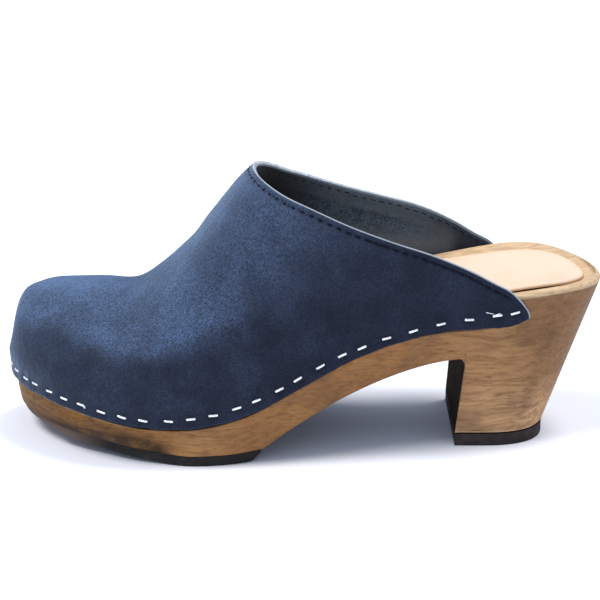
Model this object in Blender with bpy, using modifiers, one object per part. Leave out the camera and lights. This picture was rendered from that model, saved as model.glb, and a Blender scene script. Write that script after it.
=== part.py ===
"""A heeled wooden clog for the left foot, made of separate pieces.

Metres. X runs from the toe to the heel, Y from the outer side of the foot to the inner side, Z up from
the floor. Lengths along the shoe are counted from the toe end of the wood, and heights from the floor.
"""

import math
from collections import namedtuple

import bmesh
import bpy
import numpy as np
from mathutils import Matrix, Vector

# Whole shoe
TOE_END, HEEL_END = -0.0006, 0.2387
GAP = 0.0003
SIDES = {"lateral": -1, "medial": 1}

# Plan outline of the wood where the leather lies on it, as half breadths to each side of the axis
Outline = namedtuple("Outline", "x axis lateral medial")
OUTLINE = (
    Outline(0.000, 0.0080, 0.0482, 0.0370),
    Outline(0.020, 0.0062, 0.0483, 0.0375),
    Outline(0.040, 0.0042, 0.0486, 0.0380),
    Outline(0.060, 0.0027, 0.0489, 0.0382),
    Outline(0.078, 0.0016, 0.0492, 0.0378),
    Outline(0.098, 0.0008, 0.0470, 0.0358),
    Outline(0.118, 0.0002, 0.0429, 0.0329),
    Outline(0.138, 0.0000, 0.0388, 0.0308),
    Outline(0.158, 0.0000, 0.0358, 0.0302),
    Outline(0.178, 0.0000, 0.0338, 0.0316),
    Outline(0.205, 0.0000, 0.0327, 0.0336),
    Outline(HEEL_END, 0.0000, 0.0327, 0.0338),
)
TOE_ROUND, TOE_POWER = 0.060, 1.85
HEEL_ROUND, HEEL_POWER = 0.038, 2.2

# Side profile: lower edge of the leather, outer rim of the foot bed, how much higher the inner rim
# stands, and how deep the bed is dished
Profile = namedtuple("Profile", "x edge bed inner dish")
PROFILE = (
    Profile(0.000, 0.0234, 0.0330, 0.0000, 0.0008),
    Profile(0.020, 0.0213, 0.0309, 0.0000, 0.0008),
    Profile(0.040, 0.0186, 0.0282, 0.0000, 0.0008),
    Profile(0.060, 0.0162, 0.0258, 0.0000, 0.0010),
    Profile(0.077, 0.0165, 0.0261, 0.0000, 0.0012),
    Profile(0.097, 0.0211, 0.0308, 0.0000, 0.0010),
    Profile(0.117, 0.0308, 0.0405, 0.0004, 0.0008),
    Profile(0.137, 0.0408, 0.0505, 0.0014, 0.0014),
    Profile(0.157, 0.0476, 0.0573, 0.0024, 0.0026),
    Profile(0.177, 0.0512, 0.0612, 0.0034, 0.0040),
    Profile(0.187, 0.0519, 0.0627, 0.0037, 0.0044),
    Profile(0.196, 0.0524, 0.0641, 0.0038, 0.0047),
    Profile(0.2015, 0.0537, 0.0649, 0.0038, 0.0049),
    Profile(0.206, 0.0562, 0.0655, 0.0037, 0.0050),
    Profile(0.222, 0.0575, 0.0668, 0.0028, 0.0050),
    Profile(HEEL_END, 0.0575, 0.0668, 0.0000, 0.0044),
)

# Side of the wood below the leather: how far it steps out, tucks in at the bottom and bellies between
Flank = namedtuple("Flank", "x ledge tuck belly")
FLANK = (
    Flank(0.000, 0.0002, 0.0014, 0.35),
    Flank(0.020, 0.0010, 0.0036, 0.40),
    Flank(0.040, 0.0013, 0.0050, 0.45),
    Flank(0.058, 0.0018, 0.0033, 0.50),
    Flank(0.074, 0.0018, 0.0011, 0.50),
    Flank(0.088, 0.0018, 0.0018, 0.45),
    Flank(0.104, 0.0015, 0.0040, 0.30),
    Flank(0.130, 0.0010, 0.0036, 0.15),
    Flank(0.158, 0.0005, 0.0028, 0.05),
    Flank(0.181, 0.0000, 0.0028, 0.00),
    Flank(HEEL_END, 0.0000, 0.0028, 0.00),
)
RIM_ROUND = 0.0020
EDGE_ROUND = 0.0008
LEDGE_DROP = 0.0004

# Underside of the wood: toe spring, flat of the forefoot, arch, breast and heel
SOLE_THICK = 0.0040
LIFT_THICK = 0.0050
TREAD = SOLE_THICK + GAP
HEEL_BASE = LIFT_THICK + GAP
TOE_SPRING, SPRING_POWER = 0.0058, 1.1
FLAT_FROM, FLAT_TO = 0.074, 0.088
ARCH_FROM, ARCH_START_RISE = 0.1040, 0.0010
ARCH_TOP, ARCH_POWER = 0.0378, 1.7
BREAST_TOP_X = 0.1822
BREAST_FOOT_X = 0.1797
BREAST_FILLET = 0.0030
BREAST_SPREAD = 0.0040
BREAST_SKEW = {"lateral": 0.0, "medial": 0.0020}
HEEL_TAPER = 0.120
HEEL_FOOT_BACK = 0.2179
HEEL_FOOT_ROUND, HEEL_FOOT_POWER = 0.028, 2.55

# Upper
LEATHER = 0.0020
BAND = 0.0080
BAND_SHARE = 0.35
THROAT_X = 0.0990
TAIL_X = {"lateral": 0.2054, "medial": 0.2075}
TAIL_ROUND = 0.010
Nose = namedtuple("Nose", "x share")
NOSE = (
    Nose(0.000, 0.00),
    Nose(0.001, 0.10),
    Nose(0.002, 0.26),
    Nose(0.003, 0.45),
    Nose(0.004, 0.63),
    Nose(0.005, 0.755),
    Nose(0.0065, 0.85),
    Nose(0.009, 0.915),
    Nose(0.012, 0.95),
    Nose(0.016, 0.985),
    Nose(0.020, 1.00),
)
Instep = namedtuple("Instep", "x ridge fullness")
INSTEP = (
    Instep(0.000, 0.0586, 2.1),
    Instep(0.018, 0.0602, 2.05),
    Instep(0.034, 0.0608, 2.0),
    Instep(0.046, 0.0614, 2.0),
    Instep(0.053, 0.0630, 2.05),
    Instep(0.059, 0.0660, 2.1),
    Instep(0.065, 0.0703, 2.15),
    Instep(0.072, 0.0772, 2.2),
    Instep(0.079, 0.0858, 2.2),
    Instep(0.086, 0.0944, 2.2),
    Instep(0.092, 0.1020, 2.2),
    Instep(0.099, 0.1089, 2.2),
    Instep(0.107, 0.1148, 2.2),
    Instep(0.117, 0.1197, 2.2),
    Instep(0.136, 0.1245, 2.2),
    Instep(0.168, 0.1280, 2.2),
    Instep(0.207, 0.1290, 2.2),
)
Topline = namedtuple("Topline", "x lateral medial")
TOPLINE = (
    Topline(0.099, 0.1089, 0.1089),
    Topline(0.104, 0.1061, 0.1070),
    Topline(0.111, 0.1025, 0.1037),
    Topline(0.121, 0.0984, 0.1002),
    Topline(0.136, 0.0920, 0.0953),
    Topline(0.153, 0.0857, 0.0906),
    Topline(0.168, 0.0806, 0.0862),
    Topline(0.184, 0.0737, 0.0787),
    Topline(0.194, 0.0685, 0.0726),
    Topline(0.206, 0.0636, 0.0670),
)

# Insole, set in from the outline of the wood, and the rubber under the forefoot and the heel
INSOLE_THICK = 0.0012
Margin = namedtuple("Margin", "x lateral medial")
INSOLE_MARGIN = (
    Margin(0.000, 0.0046, 0.0046),
    Margin(0.100, 0.0046, 0.0046),
    Margin(0.160, 0.0058, 0.0064),
    Margin(0.200, 0.0068, 0.0084),
    Margin(HEEL_END, 0.0070, 0.0070),
)
LIP_THICK, TOE_THICK = 0.0016, 0.0030
LIP_TO, STEP_RUN = 0.0200, 0.0020
SOLE_INSET = 0.0004
SOLE_END_X, SOLE_END_SLANT, SOLE_END_THICK = 0.1034, 0.0040, 0.0006

# Staples over the lower edge of the leather: on the outer side each at its own place and rise, on the
# inner side at an even pitch
STAPLE_LENGTH, STAPLE_WIDE, STAPLE_THICK = 0.0042, 0.0009, 0.0005
STAPLE_ROUND = 0.00015
Staple = namedtuple("Staple", "x rise")
OUTER_STAPLES = (
    Staple(-0.0004, 0.0036),
    Staple(0.0015, 0.0037),
    Staple(0.0051, 0.0038),
    Staple(0.0097, 0.0036),
    Staple(0.0146, 0.0037),
    Staple(0.0211, 0.0036),
    Staple(0.0276, 0.0033),
    Staple(0.0343, 0.0035),
    Staple(0.0427, 0.0030),
    Staple(0.0508, 0.0030),
    Staple(0.0585, 0.0030),
    Staple(0.0683, 0.0034),
    Staple(0.0767, 0.0040),
    Staple(0.0852, 0.0041),
    Staple(0.0937, 0.0045),
    Staple(0.1013, 0.0045),
    Staple(0.1099, 0.0041),
    Staple(0.1169, 0.0042),
    Staple(0.1251, 0.0043),
    Staple(0.1335, 0.0041),
    Staple(0.1410, 0.0034),
    Staple(0.1503, 0.0034),
    Staple(0.1612, 0.0031),
    Staple(0.1716, 0.0034),
    Staple(0.1818, 0.0039),
    Staple(0.1934, 0.0050),
    Staple(0.1996, 0.0048),
)
INNER_STAPLES = 25
INNER_RISE = 0.0036
STAPLE_END = 0.0050

# Counts along and across the lofts
TOE_STEPS = 16
VAMP_STEPS = 8
TAIL_STEPS = 20
WALL_STEPS = 13
BED_STEPS = 14
ARCH_STEPS = 10
FILLET_STEPS = 3
BREAST_STEPS = 3
HEEL_STEPS = 10
ACROSS = 8
MERGE = 2e-6
SHARP = math.radians(40)


def curve(rows, column, x):
    """Reads one column of a table at x, as a smooth curve through its rows."""
    places = np.array([row.x for row in rows])
    values = np.array([getattr(row, column) for row in rows])
    slopes = np.gradient(values, places)
    x = min(max(x, places[0]), places[-1])
    i = min(max(int(np.searchsorted(places, x)) - 1, 0), len(places) - 2)
    run = places[i + 1] - places[i]
    t = (x - places[i]) / run
    start = (1 + 2 * t) * (1 - t) ** 2 * values[i] + t * (1 - t) ** 2 * run * slopes[i]
    end = t * t * (3 - 2 * t) * values[i + 1] - t * t * (1 - t) * run * slopes[i + 1]
    return float(start + end)


def rounding(t, power):
    """Rises from 0 to 1 as a superellipse does, upright at its start and level at its end."""
    t = min(max(t, 0.0), 1.0)
    return (1 - (1 - t) ** power) ** (1 / power)


def outline(side, x):
    """A point of the plan outline of the wood."""
    half = curve(OUTLINE, side, x)
    half *= rounding((x - TOE_END) / TOE_ROUND, TOE_POWER)
    half *= rounding((HEEL_END - x) / HEEL_ROUND, HEEL_POWER)
    return np.array((x, curve(OUTLINE, "axis", x) + SIDES[side] * half))


def outward(side, x):
    """The level direction that faces away from the wood at this point of its outline."""
    if x <= TOE_END or x >= HEEL_END:
        return np.array((-1.0 if x <= TOE_END else 1.0, 0.0))
    length = HEEL_END - TOE_END
    turn = math.acos(1 - 2 * (x - TOE_END) / length)
    step = min(0.01, turn / 2, (math.pi - turn) / 2)
    places = [TOE_END + length * (1 - math.cos(turn + d)) / 2 for d in (-step, step)]
    before, after = (outline(side, place) for place in places)
    along = (after - before) / np.linalg.norm(after - before)
    return SIDES[side] * np.array((-along[1], along[0]))


def rim(side, x, offset=0.0):
    """A point beside the plan outline, offset outwards."""
    return outline(side, x) + offset * outward(side, x)


def underside(x):
    """Height of the wood's underside from the toe to the heel breast."""
    if x < FLAT_FROM:
        return TREAD + TOE_SPRING * (1 - x / FLAT_FROM) ** SPRING_POWER
    if x < ARCH_FROM:
        return TREAD + ARCH_START_RISE * (max(x - FLAT_TO, 0.0) / (ARCH_FROM - FLAT_TO)) ** 2
    start = TREAD + ARCH_START_RISE
    t = min((x - ARCH_FROM) / (BREAST_TOP_X - ARCH_FROM), 1.0)
    return start + (ARCH_TOP - start) * (1 - (1 - t) ** ARCH_POWER)


def rim_height(side, x):
    """Height of the rim of the foot bed."""
    return curve(PROFILE, "bed", x) + (curve(PROFILE, "inner", x) if side == "medial" else 0.0)


def bed_height(place):
    """Height of the dished foot bed at a place in plan."""
    x = min(max(place[0], TOE_END), HEEL_END)
    low, high = (outline(side, x)[1] - SIDES[side] * RIM_ROUND for side in SIDES)
    t = min(max(2 * (place[1] - low) / max(high - low, GAP) - 1, -1.0), 1.0)
    ends = rounding((x - TOE_END) / TOE_ROUND, 2) * rounding((HEEL_END - x) / HEEL_ROUND, 2)
    side = "medial" if t > 0 else "lateral"
    dish = curve(PROFILE, "dish", x) * ends
    return curve(PROFILE, "bed", x) - dish + t * t * (dish + rim_height(side, x) - curve(PROFILE, "bed", x))


def toe_stations():
    """Places along the toe, close together where it rounds."""
    turns = [math.pi / 2 * i / TOE_STEPS for i in range(TOE_STEPS + 1)]
    return [TOE_END + TOE_ROUND * (1 - math.cos(turn)) for turn in turns]


def spread(start, end, count):
    """Evenly spaced places from start to end, without the start."""
    return list(np.linspace(start, end, count + 1))[1:]


def forefoot_stations():
    """Places along the forefoot, from the toe to where the arch starts."""
    flat = spread(TOE_ROUND, FLAT_FROM, 2) + spread(FLAT_FROM, FLAT_TO, 2)
    return flat + spread(FLAT_TO, SOLE_END_X - SOLE_END_SLANT, 2) + [SOLE_END_X]


def sole_edge(side, x, inset=0.0):
    """A point of the outline of the wood's underside, ahead of the heel."""
    return rim(side, x, curve(FLANK, "ledge", x) - curve(FLANK, "tuck", x) - inset)


def loft(name, rings, closed=True, capped=True):
    """A mesh skinned over rings of points, with points that coincide made one."""
    mesh = bmesh.new()
    rows = [[mesh.verts.new(point) for point in ring] for ring in rings]
    count = len(rows[0])
    for low, high in zip(rows, rows[1:]):
        for i in range(count if closed else count - 1):
            j = (i + 1) % count
            mesh.faces.new((low[i], low[j], high[j], high[i]))
    if capped:
        mesh.faces.new(list(reversed(rows[0])))
        mesh.faces.new(rows[-1])
    return finish(name, mesh)


def finish(name, mesh):
    """Merges points that coincide, turns the faces outwards and makes the object."""
    bmesh.ops.remove_doubles(mesh, verts=mesh.verts, dist=MERGE)
    bmesh.ops.dissolve_degenerate(mesh, edges=mesh.edges, dist=MERGE)
    bmesh.ops.recalc_face_normals(mesh, faces=mesh.faces)
    data = bpy.data.meshes.new(name)
    mesh.to_mesh(data)
    mesh.free()
    data.shade_smooth()
    data.set_sharp_from_angle(angle=SHARP)
    return bpy.data.objects.new(name, data)


Foot = namedtuple("Foot", "x_top lateral medial rise lean")


def wood_feet():
    """Where each ring of the wood meets the underside: its place on the rim, both bottom corners,
    and the direction into the wood from the underside, as a rise and a lean to the heel."""
    feet = []
    front = toe_stations() + forefoot_stations() + [ARCH_FROM]
    fillet_start = BREAST_TOP_X - BREAST_FILLET
    arch = spread(ARCH_FROM, fillet_start, ARCH_STEPS)
    for x in front + arch:
        corners = [sole_edge(side, x) for side in SIDES]
        feet.append(Foot(x, *[(*corner, underside(corner[0])) for corner in corners], 1.0, 0.0))
    roof = underside(fillet_start)
    for turn in spread(0, math.pi / 2, FILLET_STEPS):
        x = fillet_start + BREAST_FILLET * math.sin(turn)
        z = roof - BREAST_FILLET * (1 - math.cos(turn))
        feet.append(Foot(x, *breast_corners(x, z, math.sin(turn)), math.cos(turn), math.sin(turn)))
    top = roof - BREAST_FILLET
    for t in spread(0, 1, BREAST_STEPS)[:-1]:
        z = top + t * (HEEL_BASE - top)
        x = BREAST_TOP_X + t * (BREAST_FOOT_X - BREAST_TOP_X)
        feet.append(Foot(BREAST_TOP_X + BREAST_SPREAD * t, *breast_corners(x, z), 0.0, 1.0))
    start = BREAST_TOP_X + BREAST_SPREAD
    for t in heel_shares():
        x = BREAST_FOOT_X + t * (HEEL_FOOT_BACK - BREAST_FOOT_X)
        feet.append(Foot(start + t * (HEEL_END - start), *heel_foot(x, HEEL_BASE), 1.0, 0.0))
    return feet


def heel_shares():
    """Shares of the way along the heel, close together where its back rounds."""
    return [math.sin(math.pi / 2 * i / HEEL_STEPS) for i in range(HEEL_STEPS + 1)]


def breast_corners(x, z, skew=1.0):
    """Both corners of the heel breast at this height, drawn in by the heel's taper and set askew."""
    inset = HEEL_TAPER * (curve(PROFILE, "bed", BREAST_TOP_X) - z)
    breadth = {side: outline(side, BREAST_TOP_X)[1] - SIDES[side] * inset for side in SIDES}
    return [(x + skew * BREAST_SKEW[side], breadth[side], z) for side in SIDES]


def heel_foot(x, z):
    """Both sides of the heel's foot outline, a blunt U, at this place along it."""
    part = rounding((HEEL_FOOT_BACK - x) / HEEL_FOOT_ROUND, HEEL_FOOT_POWER)
    skew = (HEEL_FOOT_BACK - x) / (HEEL_FOOT_BACK - BREAST_FOOT_X)
    corners = breast_corners(x, HEEL_BASE, skew)
    return [(corner[0], corner[1] * part, z) for corner in corners]


def wood_flank(side, foot):
    """One side of a ring of the wood, from its rim down to the underside."""
    x = foot.x_top
    corner = np.array(getattr(foot, side))
    bed, edge = rim_height(side, x), curve(PROFILE, "edge", x)
    top = bed - RIM_ROUND
    leather_ends = min(max((x - TAIL_X[side]) / TAIL_ROUND + 1, 0.0), 1.0)
    hold = edge + leather_ends * (top - edge)
    wall = outline(side, x)
    face = outward(side, x)
    inner = RIM_ROUND * math.cos(math.pi / 4)
    points = [
        (*(wall - RIM_ROUND * face), bed),
        (*(wall - (RIM_ROUND - inner) * face), top + inner),
        (*wall, top),
    ]

    def down(z, step_out, belly):
        t = max(hold - z, 0.0) / (hold - corner[2])
        t *= 1 - belly
        return (*(wall + t * (corner[:2] - wall) + step_out * (1 - t) * face), z)

    ledge, belly = curve(FLANK, "ledge", x), curve(FLANK, "belly", x)
    middle = (edge + corner[2]) / 2
    points.append(down(edge - GAP, 0.0, 0.0))
    points.append(down(edge - GAP - LEDGE_DROP, ledge, 0.0))
    points.append(down(middle, ledge, belly))
    into = np.array((foot.lean, 0.0, foot.rise))
    points.append(tuple(corner + EDGE_ROUND * into))
    inward = foot.rise * face + np.array((0.0, foot.lean * SIDES[side]))
    points.append((*(corner[:2] - EDGE_ROUND * inward), corner[2]))
    return points


def across(left, right, count):
    """Places between two ends, without the ends."""
    left, right = np.array(left), np.array(right)
    return [left + i / count * (right - left) for i in range(1, count)]


def wood_sole():
    """The wood: foot bed, rounded rim, flanks, arch, breast and heel in one loft."""
    rings = []
    for foot in wood_feet():
        outer = wood_flank("lateral", foot)
        inner = wood_flank("medial", foot)
        bottom = [tuple(point) for point in across(outer[-1], inner[-1], ACROSS // 2)]
        top = [(*place, bed_height(place)) for place in across(inner[0][:2], outer[0][:2], ACROSS)]
        rings.append(outer + bottom + inner[::-1] + top)
    return loft("wood_sole", rings, capped=False)


def section_point(side, x, q):
    """A point on the outside of the upper. From -BAND_SHARE to 0 q climbs the band that lies on the
    wood, and from 0 to a quarter turn it climbs the arch to the ridge."""
    foot = rim(side, x, GAP + LEATHER)
    edge = curve(PROFILE, "edge", x)
    if q <= 0:
        return (*foot, edge + BAND * (1 + q / BAND_SHARE))
    other = rim("medial" if side == "lateral" else "lateral", x, GAP + LEATHER)
    crown = np.array(((foot[0] + other[0]) / 2, curve(OUTLINE, "axis", x)))
    power = 2 / curve(INSTEP, "fullness", x)
    reach = max(math.cos(q), 0.0) ** power
    return (*(crown + (foot - crown) * reach), edge + BAND + arch_rise(x) * math.sin(q) ** power)


def arch_rise(x):
    """Height of the ridge of the upper over the band, which rounds down at the toe."""
    rise = curve(INSTEP, "ridge", x) - curve(PROFILE, "edge", x) - BAND
    return rise * curve(NOSE, "share", x - TOE_END)


def topline_turn(side, x):
    """The value of q at which the upper is cut off."""
    if x <= THROAT_X:
        return math.pi / 2
    edge = curve(PROFILE, "edge", x)
    height = (curve(TOPLINE, side, x) - edge) * rounding((TAIL_X[side] - x) / TAIL_ROUND, 2)
    if height < BAND:
        return BAND_SHARE * (height / BAND - 1)
    climb = min((height - BAND) / arch_rise(x), 1.0)
    return math.asin(climb ** (curve(INSTEP, "fullness", x) / 2))


def upper_half(side):
    """The columns of points of one side of the upper, from the toe to the tail."""
    shares = [(1 - math.cos(math.pi * i / TAIL_STEPS)) / 2 for i in range(1, TAIL_STEPS + 1)]
    tail = [THROAT_X + (TAIL_X[side] - THROAT_X) * share for share in shares]
    columns = []
    for x in toe_stations() + spread(TOE_ROUND, THROAT_X, VAMP_STEPS) + tail:
        end = topline_turn(side, x)
        turns = np.linspace(-BAND_SHARE, end, WALL_STEPS + 1)
        columns.append([section_point(side, x, q) for q in turns])
    return columns


def upper():
    """The leather upper: two skinned sides that meet along the ridge, given a wall."""
    mesh = bmesh.new()
    for side in SIDES:
        rows = [[mesh.verts.new(point) for point in column] for column in upper_half(side)]
        for low, high in zip(rows, rows[1:]):
            for i in range(WALL_STEPS):
                mesh.faces.new((low[i], low[i + 1], high[i + 1], high[i]))
    shell = finish("upper", mesh)
    if sum(face.normal.z * face.area for face in shell.data.polygons) < 0:
        shell.data.flip_normals()
    wall = shell.modifiers.new("wall", "SOLIDIFY")
    wall.thickness = LEATHER
    wall.offset = -1
    wall.use_even_offset = True
    return shell


def plate(name, rows, top, bottom):
    """A plate lofted over rows of places in plan, with its top and bottom at the heights given."""
    rings = []
    for left, right in rows:
        places = [left, *across(left, right, ACROSS), right]
        high = [(*place, top(place)) for place in places]
        low = [(*place, bottom(place)) for place in places]
        rings.append(high + low[::-1])
    return loft(name, rings)


def insole():
    """The leather sock on the foot bed."""
    heel = [HEEL_END - HEEL_ROUND * (1 - share) for share in heel_shares()]
    stations = toe_stations() + spread(TOE_ROUND, HEEL_END - HEEL_ROUND, BED_STEPS)[:-1] + heel
    rows = [[rim(side, x, -curve(INSOLE_MARGIN, side, x)) for side in SIDES] for x in stations]
    return plate(
        "insole",
        rows,
        lambda place: bed_height(place) + GAP + INSOLE_THICK,
        lambda place: bed_height(place) + GAP,
    )


def rubber_thick(x):
    """Thickness of the rubber under the forefoot: a lip, a step, a taper to full, and a slanted end."""
    step = min(max((x - LIP_TO) / STEP_RUN, 0.0), 1.0)
    taper = min(max((x - LIP_TO) / (FLAT_FROM - LIP_TO), 0.0), 1.0)
    full = LIP_THICK + (TOE_THICK - LIP_THICK) * step + (SOLE_THICK - TOE_THICK) * taper
    end = min(max((SOLE_END_X - x) / SOLE_END_SLANT, 0.0), 1.0)
    return SOLE_END_THICK + (full - SOLE_END_THICK) * end


def forefoot_outsole():
    """The rubber under the forefoot, flat under the ball, with a slanted rear end."""
    stations = toe_stations() + forefoot_stations()
    rows = [[sole_edge(side, x, EDGE_ROUND + SOLE_INSET) for side in SIDES] for x in stations]
    return plate(
        "forefoot_outsole",
        rows,
        lambda place: underside(place[0]) - GAP,
        lambda place: underside(place[0]) - GAP - rubber_thick(place[0]),
    )


def heel_lift():
    """The rubber lift, which carries on the slope of the heel."""
    stations = [BREAST_FOOT_X + share * (HEEL_FOOT_BACK - BREAST_FOOT_X) for share in heel_shares()]
    rows = [[np.array(corner[:2]) for corner in heel_foot(x, 0.0)] for x in stations]
    return plate("heel_lift", rows, lambda place: LIFT_THICK, lambda place: 0.0)


def inner_staples():
    """Evenly spaced places along the inner side of the leather's lower edge, from the toe."""
    turns = np.linspace(0, math.pi / 2, BED_STEPS * INNER_STAPLES)
    stations = TOE_END + (TAIL_X["medial"] - TOE_END) * (1 - np.cos(turns))
    edge = np.array([rim("medial", x, GAP + LEATHER) for x in stations])
    runs = np.concatenate(([0.0], np.cumsum(np.linalg.norm(np.diff(edge, axis=0), axis=1))))
    pitch = (runs[-1] - STAPLE_END) / (INNER_STAPLES - 0.5)
    places = np.interp(pitch * (np.arange(INNER_STAPLES) + 0.5), runs, stations)
    return [Staple(x, INNER_RISE) for x in places]


def staple_wire():
    """The bar of a staple that shows on the leather, with its edges rounded."""
    mesh = bmesh.new()
    bmesh.ops.create_cube(mesh, size=1)
    bmesh.ops.scale(mesh, vec=(STAPLE_LENGTH, STAPLE_THICK, STAPLE_WIDE), verts=mesh.verts)
    bmesh.ops.bevel(
        mesh, geom=mesh.edges[:], offset=STAPLE_ROUND, affect="EDGES", segments=1, profile=0.5, material=-1
    )
    return finish("staple", mesh).data


def staples():
    """All staples, each laid along the leather's lower edge and clear of the leather."""
    wire = staple_wire()
    bars = []
    for side, rows in (("lateral", OUTER_STAPLES), ("medial", inner_staples())):
        sign = SIDES[side]
        for x, rise in rows:
            out = outward(side, x)
            slope = (curve(PROFILE, "edge", x + GAP) - curve(PROFILE, "edge", x - GAP)) / (2 * GAP)
            along = Vector((sign * out[1], -sign * out[0], slope * sign * out[1])).normalized()
            away = Vector((*out, 0))
            bar = bpy.data.objects.new(f"staple_{len(bars) + 1:02d}", wire)
            place = rim(side, x, LEATHER + 2 * GAP + STAPLE_THICK / 2)
            turn = Matrix((along, away, along.cross(away))).transposed()
            bar.rotation_euler = turn.to_euler()
            bar.location = (*place, curve(PROFILE, "edge", x) + rise)
            bars.append(bar)
    return bars


Finish = namedtuple("Finish", "colour roughness")
FINISHES = {
    "wood_sole": Finish((0.27, 0.16, 0.09, 1), 0.55),
    "upper": Finish((0.07, 0.10, 0.19, 1), 0.85),
    "insole": Finish((0.90, 0.74, 0.58, 1), 0.60),
    "forefoot_outsole": Finish((0.02, 0.018, 0.017, 1), 0.75),
    "heel_lift": Finish((0.025, 0.02, 0.021, 1), 0.70),
    "staple": Finish((0.80, 0.80, 0.80, 1), 0.35),
}


def painted(data):
    """Gives a mesh its own material."""
    material = bpy.data.materials.new(data.name)
    material.use_nodes = True
    shader = material.node_tree.nodes["Principled BSDF"]
    shader.inputs["Base Color"].default_value = FINISHES[data.name].colour
    shader.inputs["Roughness"].default_value = FINISHES[data.name].roughness
    data.materials.append(material)


def main():
    """Builds the clog, with its origin on the floor under the middle of its box."""
    for obj in list(bpy.data.objects):
        bpy.data.objects.remove(obj)
    clog = bpy.data.collections.new("swedish_clog")
    bpy.context.scene.collection.children.link(clog)
    middle = bpy.data.objects.new("clog_origin", None)
    clog.objects.link(middle)
    wall = GAP + LEATHER
    breadths = [rim(side, row.x, wall)[1] for side in SIDES for row in OUTLINE]
    reach = wall + GAP + STAPLE_THICK
    middle.location = ((reach - TOE_END - HEEL_END) / 2, -(min(breadths) + max(breadths)) / 2, 0)
    pieces = [wood_sole(), upper(), insole(), forefoot_outsole(), heel_lift(), *staples()]
    for piece in pieces:
        clog.objects.link(piece)
        piece.parent = middle
    for data in {piece.data.name: piece.data for piece in pieces}.values():
        painted(data)


main()
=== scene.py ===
"""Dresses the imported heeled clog: nubuck upper, carved wood, leather sock, rubber, staples and stitching.

Metres, +Z up. Lengths x along the shoe are counted from the toe end of the wood to the heel, y from the
axis of the last to the inner side, and heights from the floor. Every finished piece is then moved by one
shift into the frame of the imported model.
"""

import logging
import math
from collections.abc import Callable, Sequence
from dataclasses import dataclass
from enum import Enum

import bmesh
import bpy
import numpy as np
from mathutils import Matrix, Vector
from mathutils.bvhtree import BVHTree


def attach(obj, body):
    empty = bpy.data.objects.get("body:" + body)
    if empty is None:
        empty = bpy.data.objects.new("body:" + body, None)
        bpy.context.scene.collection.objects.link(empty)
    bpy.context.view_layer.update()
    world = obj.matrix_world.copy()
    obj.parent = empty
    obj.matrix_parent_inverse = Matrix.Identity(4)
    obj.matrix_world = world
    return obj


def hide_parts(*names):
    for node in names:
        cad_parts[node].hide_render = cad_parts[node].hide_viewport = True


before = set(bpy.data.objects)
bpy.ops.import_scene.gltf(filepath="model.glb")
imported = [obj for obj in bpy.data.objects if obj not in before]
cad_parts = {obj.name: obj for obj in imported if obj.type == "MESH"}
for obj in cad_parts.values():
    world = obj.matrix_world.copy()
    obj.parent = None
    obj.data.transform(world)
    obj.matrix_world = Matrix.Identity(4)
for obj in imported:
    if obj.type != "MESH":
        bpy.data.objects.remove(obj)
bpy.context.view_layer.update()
LOG = logging.getLogger("clog")
MILLI = 0.001
TINY = 1e-9
SEAM = 2e-6
SLIVER = 1e-6
TREAD_RIBS = 2200.0

Array = np.ndarray
Places = np.ndarray | float
Triple = tuple[float, float, float]
Heights = Callable[[Array], Array]
Skin = bmesh.types.BMesh
Piece = bpy.types.Object
Material = bpy.types.Material
Node = bpy.types.Node
Socket = bpy.types.NodeSocket
Sockets = dict[str, Socket]


class Side(Enum):
    """The two long sides of the foot."""

    LATERAL = "lateral"
    MEDIAL = "medial"

    @property
    def sign(self) -> int:
        """-1 towards the outer side of the foot, +1 towards the inner side."""
        return -1 if self is Side.LATERAL else 1

    @property
    def other(self) -> "Side":
        """The opposite side."""
        return Side.MEDIAL if self is Side.LATERAL else Side.LATERAL


class Table:
    """A short table of sizes along the shoe, in millimetres, read as a smooth curve in metres."""

    def __init__(self, columns: str, *rows: tuple[float, ...]) -> None:
        """Keeps the rows under their column names, the first of which is the place along the shoe."""
        self.columns = columns.split()
        self.values = np.array(rows, float)

    def at(self, column: str, x: Places) -> Array:
        """Reads one column at places along the shoe.

        Args:
            column: the name of the column.
            x: places along the shoe, in metres.

        Returns:
            The column's values there, with lengths in metres.
        """
        places, values = self.values[:, 0], self.values[:, self.columns.index(column)]
        slopes = np.gradient(values, places)
        x = np.clip(np.asarray(x, float) / MILLI, places[0], places[-1])
        i = np.clip(np.searchsorted(places, x) - 1, 0, len(places) - 2)
        run = places[i + 1] - places[i]
        t = (x - places[i]) / run
        start = (1 + 2 * t) * (1 - t) ** 2 * values[i] + t * (1 - t) ** 2 * run * slopes[i]
        end = t * t * (3 - 2 * t) * values[i + 1] - t * t * (1 - t) * run * slopes[i + 1]
        return (start + end) * MILLI

    def share(self, column: str, x: Places) -> Array:
        """Reads a column that holds plain numbers, not lengths."""
        return self.at(column, x) / MILLI


def rounding(t: Places, power: float) -> Array:
    """Rises from 0 to 1 as a superellipse does, upright at its start and level at its end."""
    t = np.clip(t, 0.0, 1.0)
    return (1 - (1 - t) ** power) ** (1 / power)


def soft_step(t: Places) -> Array:
    """Rises smoothly from 0 to 1 as t does."""
    t = np.clip(t, 0.0, 1.0)
    return t * t * (3 - 2 * t)


def bump_of(distance: Places, width: float) -> Array:
    """A soft hump, 1 at no distance and near 0 past twice the width."""
    return np.exp(-((distance / width) ** 2))


def spots(points: Array, middles: Array, width: float) -> Array:
    """Marks points that lie near any of some middles.

    Args:
        points: the points.
        middles: the middles.
        width: how far a mark reaches.

    Returns:
        Marks from 1 at a middle to near 0 past twice the width.
    """
    mark = np.zeros(points.shape[:-1])
    for middle in middles:
        mark = np.maximum(mark, bump_of(np.linalg.norm(points - middle, axis=-1), width))
    return mark


def run_along(path: Array) -> Array:
    """Lengths along a path to each of its points."""
    return np.concatenate(([0.0], np.cumsum(np.linalg.norm(np.diff(path, axis=0), axis=1))))


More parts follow.
